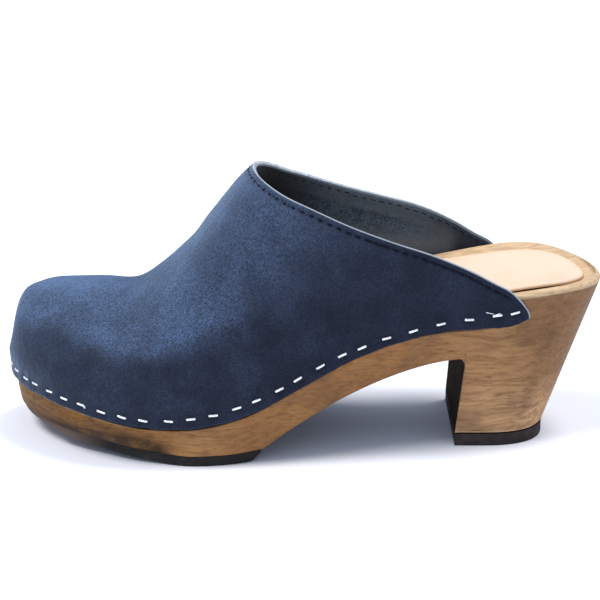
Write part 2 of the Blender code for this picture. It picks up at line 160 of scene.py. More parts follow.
def raised(flat: Array, z: Array) -> Array:
    """Points at places in plan and these heights."""
    return np.concatenate((flat, z[..., None]), -1)


def between(outer: Array, inner: Array, share: Array) -> Array:
    """Places from one edge in plan across to the other, by shares of the way."""
    return outer[:, None] + share[None, :, None] * (inner - outer)[:, None]


def level(along: Vector, normal: Vector) -> Vector:
    """A direction laid flat on the surface that has this normal."""
    return (along - along.dot(normal) * normal).normalized()


def laid(along: Vector, normal: Vector) -> Matrix:
    """The turn that lays a thing's first axis along a surface and its third axis out of it."""
    return Matrix((along, normal.cross(along), normal)).transposed().to_4x4()


class Crowd(Enum):
    """Where a row of places is close together: at its start, at its end or at both."""

    START = "start"
    END = "end"
    BOTH = "both"

    def places(self, start: float, end: float, count: int) -> Array:
        """Lays out a row of places.

        Args:
            start: the first place.
            end: the last place.
            count: the number of steps.

        Returns:
            count + 1 places.
        """
        share = np.linspace(0.0, 1.0, count + 1)
        if self is Crowd.START:
            crowd = 1 - np.cos(share * math.pi / 2)
        elif self is Crowd.END:
            crowd = np.sin(share * math.pi / 2)
        else:
            crowd = (1 - np.cos(share * math.pi)) / 2
        return start + (end - start) * crowd


@dataclass(frozen=True)
class Last:
    """The form that all pieces follow: plan outline, side profile, foot bed and underside."""

    toe_end: float = -0.0006
    heel_end: float = 0.2387
    gap: float = 0.0003
    toe_round: float = 0.060
    toe_power: float = 1.85
    heel_round: float = 0.038
    heel_power: float = 2.2
    rim_round: float = 0.0020
    tread: float = 0.0043
    heel_base: float = 0.0053
    toe_spring: float = 0.0058
    spring_power: float = 1.1
    flat_from: float = 0.074
    flat_to: float = 0.088
    arch_from: float = 0.1040
    arch_start_rise: float = 0.0010
    arch_top: float = 0.0378
    arch_power: float = 1.7
    breast_top: float = 0.1822
    breast_foot: float = 0.1797
    heel_taper: float = 0.120
    heel_foot_back: float = 0.2179
    heel_foot_round: float = 0.028
    heel_foot_power: float = 2.55
    breast_skew: float = 0.0020
    leather: float = 0.0020
    staple_reach: float = 0.0008
    outer_tail: float = 0.2054
    inner_tail: float = 0.2075
    turn_step: float = 0.01

    plan: Table = Table(
        "x axis lateral medial",
        (0, 8.0, 48.2, 37.0),
        (20, 6.2, 48.3, 37.5),
        (40, 4.2, 48.6, 38.0),
        (60, 2.7, 48.9, 38.2),
        (78, 1.6, 49.2, 37.8),
        (98, 0.8, 47.0, 35.8),
        (118, 0.2, 42.9, 32.9),
        (138, 0.0, 38.8, 30.8),
        (158, 0.0, 35.8, 30.2),
        (178, 0.0, 33.8, 31.6),
        (205, 0.0, 32.7, 33.6),
        (238.7, 0.0, 32.7, 33.8),
    )
    profile: Table = Table(
        "x edge bed inner dish",
        (0, 23.4, 33.0, 0.0, 0.8),
        (20, 21.3, 30.9, 0.0, 0.8),
        (40, 18.6, 28.2, 0.0, 0.8),
        (60, 16.2, 25.8, 0.0, 1.0),
        (77, 16.5, 26.1, 0.0, 1.2),
        (97, 21.1, 30.8, 0.0, 1.0),
        (117, 30.8, 40.5, 0.4, 0.8),
        (137, 40.8, 50.5, 1.4, 1.4),
        (157, 47.6, 57.3, 2.4, 2.6),
        (177, 51.2, 61.2, 3.4, 4.0),
        (187, 51.9, 62.7, 3.7, 4.4),
        (196, 52.4, 64.1, 3.8, 4.7),
        (201.5, 53.7, 64.9, 3.8, 4.9),
        (206, 56.2, 65.5, 3.7, 5.0),
        (222, 57.5, 66.8, 2.8, 5.0),
        (238.7, 57.5, 66.8, 0.0, 4.4),
    )
    flank: Table = Table(
        "x ledge tuck belly",
        (0, 0.2, 1.4, 0.35),
        (20, 1.0, 3.6, 0.40),
        (40, 1.3, 5.0, 0.45),
        (58, 1.8, 3.3, 0.50),
        (74, 1.8, 1.1, 0.50),
        (88, 1.8, 1.8, 0.45),
        (104, 1.5, 4.0, 0.30),
        (130, 1.0, 3.6, 0.15),
        (158, 0.5, 2.8, 0.05),
        (181, 0.0, 2.8, 0.00),
        (238.7, 0.0, 2.8, 0.00),
    )

    def shift(self) -> Vector:
        """Finds the move from the last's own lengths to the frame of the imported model.

        Returns:
            The move.
        """
        reach = self.gap + self.leather + self.staple_reach
        places = self.plan.values[:, 0] * MILLI
        breadths = [self.leather_line(side, places)[:, 1] for side in Side]
        low, high = np.min(breadths), np.max(breadths)
        return Vector(((reach - self.toe_end - self.heel_end) / 2, -(low + high) / 2, 0.0))

    def tail(self, side: Side) -> float:
        """Where the leather ends on one side."""
        return self.outer_tail if side is Side.LATERAL else self.inner_tail

    def toe_places(self, count: int) -> Array:
        """Places along the round of the toe, close together at its tip."""
        return Crowd.START.places(self.toe_end, self.toe_end + self.toe_round, count)

    def outline(self, side: Side, x: Places) -> Array:
        """Follows the plan outline of the wood.

        Args:
            side: the side of the foot.
            x: places along the shoe.

        Returns:
            Points of the outline, as x and y.
        """
        x = np.asarray(x, float)
        half = self.plan.at(side.value, x)
        half = half * rounding((x - self.toe_end) / self.toe_round, self.toe_power)
        half = half * rounding((self.heel_end - x) / self.heel_round, self.heel_power)
        return np.stack((x, self.plan.at("axis", x) + side.sign * half), -1)

    def outward(self, side: Side, x: Places) -> Array:
        """Finds which way is level and out of the wood at points of its outline.

        Args:
            side: the side of the foot.
            x: places along the shoe.

        Returns:
            Directions as x and y, straight ahead or straight back where the two sides meet.
        """
        x = np.asarray(x, float)
        length = self.heel_end - self.toe_end
        turn = np.arccos(np.clip(1 - 2 * (x - self.toe_end) / length, -1.0, 1.0))
        step = np.minimum(self.turn_step, np.minimum(turn, math.pi - turn) / 2)
        before = self.outline(side, self.toe_end + length * (1 - np.cos(turn - step)) / 2)
        after = self.outline(side, self.toe_end + length * (1 - np.cos(turn + step)) / 2)
        along = after - before
        size = np.linalg.norm(along, axis=-1, keepdims=True)
        along = along / np.maximum(size, TINY)
        away = side.sign * np.stack((-along[..., 1], along[..., 0]), -1)
        tip = np.stack((np.where(x < self.heel_end / 2, -1.0, 1.0), np.zeros_like(x)), -1)
        return np.where(size > TINY, away, tip)

    def rim(self, side: Side, x: Places, offset: Places = 0.0) -> Array:
        """Points beside the plan outline, offset outwards."""
        return self.outline(side, x) + np.asarray(offset)[..., None] * self.outward(side, x)

    def leather_line(self, side: Side, x: Places) -> Array:
        """Points in plan on the outside of the leather where it lies on the wood."""
        return self.rim(side, x, self.gap + self.leather)

    def underside(self, x: Places) -> Array:
        """Follows the wood's underside from the toe to the heel breast.

        Args:
            x: places along the shoe.

        Returns:
            Heights.
        """
        x = np.asarray(x, float)
        spring = self.tread + self.toe_spring * np.maximum(1 - x / self.flat_from, 0) ** self.spring_power
        back = np.clip((x - self.flat_to) / (self.arch_from - self.flat_to), 0.0, 1.0)
        start = self.tread + self.arch_start_rise
        t = np.clip((x - self.arch_from) / (self.breast_top - self.arch_from), 0.0, 1.0)
        arch = start + (self.arch_top - start) * (1 - (1 - t) ** self.arch_power)
        flat = np.where(x < self.flat_from, spring, self.tread + self.arch_start_rise * back**2)
        return np.where(x < self.arch_from, flat, arch)

    def rim_height(self, side: Side, x: Places) -> Array:
        """Heights of the rim of the foot bed."""
        inner = self.profile.at("inner", x) if side is Side.MEDIAL else 0.0
        return self.profile.at("bed", x) + inner

    def bed_height(self, place: Array) -> Array:
        """Follows the dished foot bed.

        Args:
            place: places in plan, as x and y.

        Returns:
            Heights.
        """
        x = np.clip(place[..., 0], self.toe_end, self.heel_end)
        low = self.outline(Side.LATERAL, x)[..., 1] + self.rim_round
        high = self.outline(Side.MEDIAL, x)[..., 1] - self.rim_round
        t = np.clip(2 * (place[..., 1] - low) / np.maximum(high - low, self.gap) - 1, -1.0, 1.0)
        toe, heel = (x - self.toe_end) / self.toe_round, (self.heel_end - x) / self.heel_round
        dish = self.profile.at("dish", x) * (rounding(toe, 2) * rounding(heel, 2))
        inner = np.where(t > 0, self.profile.at("inner", x), 0.0)
        return self.profile.at("bed", x) - dish + t * t * (dish + inner)

    def sole_edge(self, side: Side, x: Places, inset: float = 0.0) -> Array:
        """Points of the outline of the wood's underside, ahead of the heel."""
        return self.rim(side, x, self.flank.at("ledge", x) - self.flank.at("tuck", x) - inset)

    def breast_corner(self, side: Side, x: float, z: float, skew: float = 1.0) -> Array:
        """Finds a corner of the heel breast, drawn in by the heel's taper and set askew.

        Args:
            side: the side of the foot.
            x: the breast's place along the shoe.
            z: the height.
            skew: the share of the skew that it has.

        Returns:
            The corner.
        """
        inset = self.heel_taper * (float(self.profile.at("bed", self.breast_top)) - z)
        back = skew * self.breast_skew if side is Side.MEDIAL else 0.0
        return np.array((x + back, self.outline(side, self.breast_top)[1] - side.sign * inset, z))

    def heel_foot(self, side: Side, x: float, z: float) -> Array:
        """Finds a point of the heel's foot outline, a blunt U.

        Args:
            side: the side of the foot.
            x: its place along the shoe.
            z: the height it is set at.

        Returns:
            The point.
        """
        part = float(rounding((self.heel_foot_back - x) / self.heel_foot_round, self.heel_foot_power))
        skew = (self.heel_foot_back - x) / (self.heel_foot_back - self.breast_foot)
        corner = self.breast_corner(side, x, self.heel_base, skew)
        return np.array((corner[0], corner[1] * part, z))


LAST = Last()


def grid_skin(points: Array, **numbers: Array) -> Skin:
    """Lays a grid over rows of points.

    Args:
        points: an array of rows by columns by 3.
        numbers: values by row and column, each kept in a layer of that name.

    Returns:
        A new bmesh whose layers "row" and "column" keep each vertex's place in the array.
    """
    rows, columns = points.shape[:2]
    skin = bmesh.new()
    row_of, column_of = (skin.verts.layers.int.new(name) for name in ("row", "column"))
    layers = {name: skin.verts.layers.float.new(name) for name in numbers}
    bmesh.ops.create_grid(skin, x_segments=rows - 1, y_segments=columns - 1, size=1.0)
    for vert in skin.verts:
        i = round((vert.co.x + 1) / 2 * (rows - 1))
        j = round((vert.co.y + 1) / 2 * (columns - 1))
        vert[row_of], vert[column_of] = i, j
        vert.co = points[i, j]
        for name, values in numbers.items():
            vert[layers[name]] = values[i, j]
    return skin


def close_skin(skin: Skin) -> Skin:
    """Merges the seams of a skin and turns its faces outwards.

    Args:
        skin: the skin.

    Returns:
        The same skin.
    """
    bmesh.ops.remove_doubles(skin, verts=skin.verts, dist=SEAM)
    bmesh.ops.dissolve_degenerate(skin, edges=skin.edges, dist=SLIVER)
    bmesh.ops.recalc_face_normals(skin, faces=skin.faces)
    skin.normal_update()
    return skin


def face_up(sheet: Skin) -> None:
    """Turns the faces of an open sheet so that they look upwards on the whole.

    Args:
        sheet: the sheet.
    """
    if sum(face.normal.z * face.calc_area() for face in sheet.faces) < 0:
        bmesh.ops.reverse_faces(sheet, faces=sheet.faces)
    sheet.normal_update()


def mesh_of(name: str, skin: Skin) -> bpy.types.Mesh:
    """Makes a mesh of a skin.

    Args:
        name: the mesh's name.
        skin: the skin, which is freed.

    Returns:
        The mesh.
    """
    data = bpy.data.meshes.new(name)
    skin.to_mesh(data)
    skin.free()
    return data


def linked(name: str, data: bpy.types.ID) -> Piece:
    """Makes an object and links it to the scene.

    Args:
        name: the object's name.
        data: its mesh, light or camera.

    Returns:
        The object.
    """
    made = bpy.data.objects.new(name, data)
    bpy.context.scene.collection.objects.link(made)
    return made


def made_object(name: str, skin: Skin, sharp: float | None = None) -> Piece:
    """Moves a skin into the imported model's frame and makes it an object.

    Args:
        name: the piece's name.
        skin: the mesh, which is freed.
        sharp: the angle in degrees past which an edge is drawn sharp, or None for none.

    Returns:
        The new object, linked to the scene.
    """
    bmesh.ops.translate(skin, vec=LAST.shift(), verts=skin.verts)
    data = mesh_of(name, skin)
    data.shade_smooth()
    if sharp is not None:
        data.set_sharp_from_angle(angle=math.radians(sharp))
    return linked(name, data)


def walled(piece: Piece, thickness: float) -> bpy.types.SolidifyModifier:
    """Gives a sheet a wall behind its faces.

    Args:
        piece: the sheet.
        thickness: the wall's thickness.

    Returns:
        The modifier.
    """
    wall = piece.modifiers.new("wall", "SOLIDIFY")
    wall.thickness = thickness
    wall.offset = -1
    return wall


def soften(piece: Piece, width: float, angle: float = 30.0) -> None:
    """Rounds the sharp edges of a piece.

    Args:
        piece: the piece.
        width: the width of the rounding.
        angle: the angle in degrees past which an edge is rounded.
    """
    soft = piece.modifiers.new("edge", "BEVEL")
    soft.width = width
    soft.segments = 2
    soft.limit_method = "ANGLE"
    soft.angle_limit = math.radians(angle)


def settle(piece: Piece, slot: str, nodes: Sequence[str], *coats: Material) -> None:
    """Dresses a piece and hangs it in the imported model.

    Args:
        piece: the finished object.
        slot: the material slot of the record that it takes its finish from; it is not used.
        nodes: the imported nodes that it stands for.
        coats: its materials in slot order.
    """
    for coat in coats:
        piece.data.materials.append(coat)
    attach(piece, "root")
    if nodes:
        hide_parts(*nodes)
    LOG.info("%s: %d faces, stands for %d nodes", piece.name, len(piece.data.polygons), len(nodes))


class Graph:
    """Adds and links nodes in one node tree."""

    def __init__(self, tree: bpy.types.NodeTree) -> None:
        """Starts on a tree."""
        self.tree = tree

    def add(self, kind: str, settings: dict[str, object] | None = None, **inputs: object) -> Node:
        """Adds a node.

        Args:
            kind: the node's type without its ShaderNode prefix.
            settings: attributes of the node.
            inputs: values or sockets for its inputs, as for plug.

        Returns:
            The new node.
        """
        node = self.tree.nodes.new(f"ShaderNode{kind}")
        for key, value in (settings or {}).items():
            setattr(node, key, value)
        self.plug(node, **inputs)
        return node

    def plug(self, node: Node, **inputs: object) -> None:
        """Links sockets to a node's inputs, or sets the inputs' values.

        Args:
            node: the node.
            inputs: sockets or values, by input name with _ for a space, or by index as i0, i1.
        """
        for key, value in inputs.items():
            by_index = key[0] == "i" and key[1:].isdigit()
            socket = node.inputs[int(key[1:]) if by_index else key.replace("_", " ")]
            if isinstance(value, Socket):
                self.tree.links.new(value, socket)
            elif isinstance(value, tuple) and socket.type == "RGBA":
                socket.default_value = (*value, 1.0)
            else:
                socket.default_value = value

    def group(self, tree: bpy.types.NodeTree, **inputs: object) -> Node:
        """Places a shared effect."""
        return self.add("Group", {"node_tree": tree}, **inputs)

    def maths(self, operation: str, a: object, b: object = 0.0) -> Socket:
        """The result of a math operation on two values or sockets."""
        return self.add("Math", {"operation": operation}, i0=a, i1=b).outputs[0]

    def plus(self, a: object, b: object) -> Socket:
        """The sum of two values or sockets."""
        return self.maths("ADD", a, b)

    def times(self, a: object, b: object) -> Socket:
        """The product of two values or sockets."""
        return self.maths("MULTIPLY", a, b)

    def span(
        self, value: object, low: float, high: float, to_low: float = 0.0, to_high: float = 1.0
    ) -> Socket:
        """Maps a value from one range to another, smoothly and held at both ends.

        Args:
            value: the value or socket.
            low: the start of its range.
            high: the end of its range, which may be the lower number.
            to_low: the result at the start.
            to_high: the result at the end.

        Returns:
            The result.
        """
        settings = {"interpolation_type": "SMOOTHSTEP", "clamp": True}
        ends = {"From_Min": low, "From_Max": high, "To_Min": to_low, "To_Max": to_high}
        return self.add("MapRange", settings, Value=value, **ends).outputs[0]

    def blend(self, share: object, a: object, b: object) -> Socket:
        """A mix of two colours."""
        return self.add("Mix", {"data_type": "RGBA"}, i0=share, i6=a, i7=b).outputs[2]

    def ramp(self, value: object, *stops: tuple[float, Triple]) -> Socket:
        """Turns a value into a colour.

        Args:
            value: the value or socket.
            stops: places on the ramp and their colours.

        Returns:
            The colour.
        """
        node = self.add("ValToRGB", i0=value)
        bar = node.color_ramp.elements
        while len(bar) < len(stops):
            bar.new(1.0)
        for element, (place, colour) in zip(bar, stops):
            element.position = place
            element.color = (*colour, 1.0)
        return node.outputs[0]

    def axes(self, vector: Socket) -> Sequence[Socket]:
        """The three parts of a vector."""
        return self.add("SeparateXYZ", Vector=vector).outputs

    def noise(self, vector: Socket, scale: object, detail: float = 2.0, rough: float = 0.5) -> Socket:
        """A noise value between 0 and 1."""
        return self.add("TexNoise", Vector=vector, Scale=scale, Detail=detail, Roughness=rough).outputs[0]

    def grain(self, vector: Socket, scale: Triple, detail: float = 2.0, rough: float = 0.5) -> Socket:
        """A noise value with a scale of its own along each axis."""
        scaled = self.add("Mapping", Vector=vector, Scale=scale).outputs[0]
        return self.noise(scaled, 1.0, detail, rough)

    def attribute(self, name: str) -> Socket:
        """A number that the piece's mesh carries."""
        return self.add("Attribute", {"attribute_name": name}).outputs["Fac"]


def shader_group(
    name: str, inputs: dict[str, object], outputs: Sequence[str], build: Callable[[Graph, Sockets], Sockets]
) -> bpy.types.NodeTree:
    """Makes a shader node group.

    Args:
        name: the group's name.
        inputs: default values by input name, a tuple for a vector.
        outputs: names of its number outputs.
        build: adds the nodes, given the input sockets, and returns the sockets for the outputs.

    Returns:
        The node group.
    """
    tree = bpy.data.node_groups.new(name, "ShaderNodeTree")
    for key, value in inputs.items():
        kind = "NodeSocketVector" if isinstance(value, tuple) else "NodeSocketFloat"
        socket = tree.interface.new_socket(key, in_out="INPUT", socket_type=kind)
        socket.default_value = value
    for key in outputs:
        tree.interface.new_socket(key, in_out="OUTPUT", socket_type="NodeSocketFloat")
    entry, leave = tree.nodes.new("NodeGroupInput"), tree.nodes.new("NodeGroupOutput")
    for key, socket in build(Graph(tree), {key: entry.outputs[key] for key in inputs}).items():
        tree.links.new(socket, leave.inputs[key])
    return tree


class Effects:
    """Effects that more than one finish uses, each built once."""

    def __init__(self) -> None:
        """Builds the groups."""
        place = {"Vector": (0.0, 0.0, 0.0)}
        nap = {**place, "Clump": 150.0, "Fibre": 1500.0}
        self.nap = shader_group("nap", nap, ("Mottle", "Height"), self.nap_nodes)
        soil = {**place, "Scale": 30.0, "Amount": 0.5}
        self.soil = shader_group("soil", soil, ("Mask",), self.soil_nodes)
        self.pores = shader_group("pores", {**place, "Scale": 900.0}, ("Height",), self.pore_nodes)

    @staticmethod
    def nap_nodes(graph: Graph, take: Sockets) -> Sockets:
        """Brushed fibres: clumps a few millimetres wide over a fine grain.

        Args:
            graph: the group's graph.
            take: its input sockets.

        Returns:
            The sockets for its outputs.
        """
        clump = graph.noise(take["Vector"], take["Clump"], 2.0, 0.6)
        fibre = graph.noise(take["Vector"], take["Fibre"], 2.0, 0.75)
        mixed = graph.plus(graph.times(clump, 0.25), graph.times(fibre, 0.75))
        return {"Mottle": graph.span(mixed, 0.38, 0.62), "Height": fibre}

    @staticmethod
    def soil_nodes(graph: Graph, take: Sockets) -> Sockets:
        """Soft uneven patches of rubbed-in dirt."""
        patch = graph.span(graph.noise(take["Vector"], take["Scale"], 4.0, 0.6), 0.45, 0.72)
        return {"Mask": graph.times(patch, take["Amount"])}

    @staticmethod
    def pore_nodes(graph: Graph, take: Sockets) -> Sockets:
        """Fine pits such as leather grain or moulded rubber has.

        Args:
            graph: the group's graph.
            take: its input sockets.

        Returns:
            The sockets for its outputs.
        """
        cells = graph.add("TexVoronoi", {"feature": "F1"}, Vector=take["Vector"], Scale=take["Scale"])
        pit = cells.outputs["Distance"]
        grit = graph.noise(take["Vector"], take["Scale"], 3.0, 0.6)
        return {"Height": graph.plus(graph.times(pit, 0.6), graph.times(grit, 0.5))}


@dataclass(frozen=True)
class Coat:
    """The part of a finish that is the same all over a surface."""

    name: str
    roughness: float = 0.6
    specular: float = 0.5
    metallic: float = 0.0
    sheen: float = 0.0
    sheen_roughness: float = 0.5
    sheen_tint: Triple = (1.0, 1.0, 1.0)
    coat: float = 0.0
    coat_roughness: float = 0.3

    def start(self) -> tuple[Material, Graph, Node, Socket]:
        """Makes the material with its constants set.

        Returns:
            The material, its graph, its shader and its object coordinates.
        """
        material = bpy.data.materials.new(self.name)
        material.use_nodes = True
        graph = Graph(material.node_tree)
        shader = material.node_tree.nodes["Principled BSDF"]
        graph.plug(
            shader,
            Roughness=self.roughness,
            Specular_IOR_Level=self.specular,
            Metallic=self.metallic,
            Sheen_Weight=self.sheen,
            Sheen_Roughness=self.sheen_roughness,
            Sheen_Tint=self.sheen_tint,
            Coat_Weight=self.coat,
            Coat_Roughness=self.coat_roughness,
        )
        return material, graph, shader, graph.add("TexCoord").outputs["Object"]


def relief(graph: Graph, shader: Node, height: Socket, strength: float, depth: float) -> None:
    """Feeds a height to the shader's normal through a bump node.

    Args:
        graph: the material's graph.
        shader: its Principled shader.
        height: the height.
        strength: the bump's strength.
        depth: the bump's distance in metres.
    """
    bump = graph.add("Bump", Height=height, Strength=strength, Distance=depth)
    graph.plug(shader, Normal=bump.outputs[0])


class Finishes:
    """All materials of the clog."""

    def __init__(self, effects: Effects) -> None:
        """Makes every material.

        Args:
            effects: the shared effects.
        """
        self.effects = effects
        self.nubuck = self.make_nubuck()
        self.flesh = self.make_flesh()
        self.raw_edge = self.make_raw_edge()
        self.wood = self.make_wood()
        self.shade_paint = self.make_painted_shade()
        self.sock = self.make_sock()
        self.rubber = self.make_rubber("outsole_rubber", (0.026, 0.0235, 0.0225))
        self.lift = self.make_rubber("lift_rubber", (0.033, 0.0255, 0.0240))
        self.wire = self.make_wire()
        self.thread = self.make_thread()

    def make_nubuck(self) -> Material:
        """Slate-blue nubuck: paler over toe and instep and navy low down and to the rear, partly brushed nap
        and partly painted light from above.

        Returns:
            The material.
        """
        coat = Coat("nubuck", 0.92, 0.12, sheen=0.50, sheen_roughness=0.35, sheen_tint=(0.55, 0.74, 1.0))
        material, graph, shader, place = coat.start()
        nap = graph.group(self.effects.nap, Vector=place, Clump=900.0, Fibre=2300.0)
        patch = graph.noise(place, 60.0, 4.0, 0.6)
        # haze is the nap's tone with painted light and shade: paler on top as lit from above, with a painted
        # highlight along the toe's crown and painted patches of light and shade.
        tone = graph.plus(graph.attribute("haze"), graph.span(patch, 0.3, 0.7, -0.125, 0.065))
        swing = graph.span(tone, 0.1, 0.7, 0.105, 0.285)
        tips = graph.times(swing, graph.span(nap.outputs["Mottle"], 0.0, 1.0, -1.0, 1.0))
        tone = graph.plus(tone, tips)
        base = graph.ramp(
            tone,
            (0.0, (0.0118, 0.0150, 0.0264)),
            (0.25, (0.0238, 0.0324, 0.0560)),
            (0.50, (0.0415, 0.0592, 0.1010)),
            (0.75, (0.0635, 0.1010, 0.1800)),
            (1.0, (0.0940, 0.1600, 0.2900)),
        )
        hole = graph.span(graph.attribute("pinhole"), 0.2, 0.9)
        base = graph.blend(hole, base, (0.004, 0.005, 0.010))
        # A pale line along the cut top edge: the cut fibres are paler, and the line is also a painted
        # highlight on the edge.
        cut = graph.span(graph.attribute("from_collar"), 0.00020, 0.00065, 0.9, 0.0)
        graph.plug(shader, Base_Color=graph.blend(cut, base, (0.39, 0.43, 0.47)))
        wrinkle = graph.grain(place, (420.0, 420.0, 260.0), 2.0, 0.5)
        height = graph.plus(nap.outputs["Height"], graph.times(wrinkle, 1.6))
        relief(graph, shader, height, 0.40, 0.0005)
        return material

    def make_flesh(self) -> Material:
        """The inside of the leather: dull grey-green flesh with a paler turned-in band under the collar,
        painted shade deep under the throat and painted bounce light near the sock.

        Returns:
            The material.
        """
        coat = Coat("flesh_side", 0.95, 0.1, sheen=0.25, sheen_tint=(0.7, 0.8, 0.9))
        material, graph, shader, place = coat.start()
        nap = graph.group(self.effects.nap, Vector=place, Clump=260.0, Fibre=1300.0)
        base = graph.ramp(
            nap.outputs["Mottle"],
            (0.0, (0.030, 0.045, 0.060)),
            (0.5, (0.052, 0.078, 0.106)),
            (1.0, (0.084, 0.122, 0.162)),
        )
        band = graph.span(graph.attribute("from_collar"), 0.0070, 0.0090, 1.0, 0.0)
        base = graph.blend(graph.times(band, 0.50), base, (0.110, 0.146, 0.172))
        axes = graph.axes(place)
        # Painted shade deep inside, over the toe and under the throat.
        base = graph.blend(graph.span(axes[0], -0.012, 0.018, 0.88, 0.0), base, (0.006, 0.007, 0.008))
        base = graph.blend(graph.span(axes[0], 0.044, 0.072, 0.0, 0.85), base, (0.016, 0.022, 0.032))
        # Painted light low down near the sock, as light bounces up from it.
        ahead = graph.span(axes[0], 0.070, 0.062)
        sock_bounce = graph.times(graph.span(axes[2], 0.080, 0.067, 0.0, 0.60), ahead)
        base = graph.blend(sock_bounce, base, (0.145, 0.170, 0.185))
        fray = graph.span(graph.attribute("from_collar"), 0.0006, 0.0015, 0.8, 0.0)
        base = graph.blend(fray, base, (0.26, 0.33, 0.37))
        graph.plug(shader, Base_Color=base)
        step = graph.plus(graph.times(band, 1.2), nap.outputs["Height"])
        relief(graph, shader, step, 0.5, 0.0006)
        return material

    def make_raw_edge(self) -> Material:
        """The cut edge of the leather: pale grey-blue fibres.

        Returns:
            The material.
        """
        material, graph, shader, place = Coat("raw_edge", 0.9, 0.15, sheen=0.2).start()
        nap = graph.group(self.effects.nap, Vector=place, Clump=600.0, Fibre=2600.0)
        low = graph.span(graph.attribute("from_collar"), 0.004, 0.012)
        pale = graph.ramp(nap.outputs["Mottle"], (0.0, (0.20, 0.23, 0.27)), (1.0, (0.58, 0.62, 0.66)))
        graph.plug(shader, Base_Color=graph.blend(low, pale, (0.018, 0.023, 0.040)))
        relief(graph, shader, nap.outputs["Height"], 0.5, 0.0004)
        return material

    def make_wood(self) -> Material:
        """Oiled wood with lengthwise grain: greyer at the heel, redder to the toe, pale on the rim from wear
        and painted light.

        Returns:
            The material.
        """
        material, graph, shader, place = Coat("oiled_wood", 0.65, 0.10, coat=0.02, coat_roughness=0.4).start()
        warp = graph.noise(place, 22.0, 2.0)
        axes = graph.axes(place)
        lifted = graph.plus(axes[2], graph.times(warp, 0.010))
        swept = graph.add("CombineXYZ", X=axes[0], Y=axes[1], Z=lifted).outputs[0]
        year = graph.grain(swept, (9.0, 70.0, 170.0), 3.0, 0.6)
        fibre = graph.grain(swept, (60.0, 700.0, 800.0), 3.0, 0.65)
        vessel = graph.grain(swept, (210.0, 2100.0, 2100.0), 1.0, 0.5)
        along = graph.plus(graph.times(axes[0], 4.0), 0.5)
        base = graph.ramp(
            along,
            (0.03, (0.230, 0.106, 0.0140)),
            (0.12, (0.225, 0.100, 0.0140)),
            (0.26, (0.365, 0.172, 0.042)),
            (0.34, (0.480, 0.245, 0.092)),
            (0.42, (0.325, 0.157, 0.055)),
            (0.50, (0.352, 0.171, 0.058)),
            (0.66, (0.352, 0.167, 0.060)),
            (0.80, (0.425, 0.232, 0.101)),
            # The last stop is darker: painted shade where the back of the heel turns away from the light.
            (0.92, (0.272, 0.147, 0.069)),
        )
        # Painted light: the heel is lighter low down, against the shade that falls there from the floor.
        foot = graph.times(graph.span(axes[2], 0.034, 0.008, 0.0, 0.75), graph.span(axes[0], 0.055, 0.062))
        base = graph.blend(foot, base, (0.74, 0.45, 0.230))
        base = graph.blend(graph.span(year, 0.36, 0.66, 0.42, 0.02), base, (0.195, 0.092, 0.038))
        base = graph.blend(graph.span(fibre, 0.40, 0.68, 0.02, 0.54), base, (0.148, 0.068, 0.028))
        base = graph.blend(graph.span(vessel, 0.62, 0.72, 0.0, 0.50), base, (0.06, 0.028, 0.013))
        soil = graph.group(self.effects.soil, Vector=place, Scale=38.0, Amount=0.55)
        base = graph.blend(soil.outputs["Mask"], base, (0.125, 0.066, 0.034))
        front = graph.span(axes[0], -0.045, -0.075)
        streak = graph.grain(swept, (52.0, 280.0, 760.0), 3.0, 0.6)
        streak = graph.times(front, graph.span(streak, 0.45, 0.66, 0.0, 0.70))
        base = graph.blend(streak, base, (0.075, 0.032, 0.010))
        broken = graph.span(graph.noise(place, 160.0, 3.0, 0.7), 0.3, 0.6, 0.55, 1.0)
        # smudge darkens with smudges and with painted shade: under the leather's edge and the rim, in the gap
        # by the tail, low on the toe flank and at the heel's back.
        base = graph.blend(graph.times(graph.attribute("smudge"), broken), base, (0.045, 0.023, 0.010))
        # worn holds worn pale wood with painted light: the rim and bed, with painted highlights on the rim's
        # rounding and on the top edge under the leather at the toe.
        pale = graph.times(graph.attribute("worn"), graph.span(fibre, 0.35, 0.65, 0.92, 0.58))
        base = graph.blend(pale, base, (0.75, 0.555, 0.345))
        graph.plug(shader, Base_Color=base, Roughness=graph.span(year, 0.2, 0.8, 0.48, 0.64))
        height = graph.maths("SUBTRACT", fibre, graph.span(vessel, 0.64, 0.74, 0.0, 0.8))
        relief(graph, shader, height, 0.25, 0.0004)
        return material

    def make_painted_shade(self) -> Material:
        """Near-black wood of the heel breast and the underside: painted shade, as these faces lie in deep
        shadow.

        Returns:
            The material.
        """
        material, graph, shader, place = Coat("painted_shade_wood", 0.95, 0.04).start()
        grain = graph.grain(place, (90.0, 500.0, 60.0), 3.0, 0.6)
        base = graph.ramp(grain, (0.3, (0.010, 0.0055, 0.002)), (0.7, (0.034, 0.018, 0.006)))
        graph.plug(shader, Base_Color=base)
        relief(graph, shader, grain, 0.3, 0.0004)
        return material

    def make_sock(self) -> Material:
        """The pale natural leather of the sock: smooth, with faint grain and rub marks.

        Returns:
            The material.
        """
        material, graph, shader, place = Coat("sock_leather", 0.55, 0.4).start()
        pores = graph.group(self.effects.pores, Vector=place, Scale=1100.0)
        soil = graph.group(self.effects.soil, Vector=place, Scale=55.0, Amount=0.45)
        broad = graph.noise(place, 26.0, 3.0)
        base = graph.ramp(broad, (0.3, (0.75, 0.535, 0.395)), (0.7, (0.80, 0.580, 0.445)))
        base = graph.blend(soil.outputs["Mask"], base, (0.68, 0.475, 0.335))
        rubbed = graph.span(graph.attribute("from_edge"), 0.0, 0.0022, 0.55, 0.0)
        graph.plug(shader, Base_Color=graph.blend(rubbed, base, (0.66, 0.48, 0.31)))
        crease = graph.grain(place, (120.0, 60.0, 60.0), 4.0, 0.6)
        relief(graph, shader, graph.plus(pores.outputs["Height"], crease), 0.22, 0.0005)
        return material

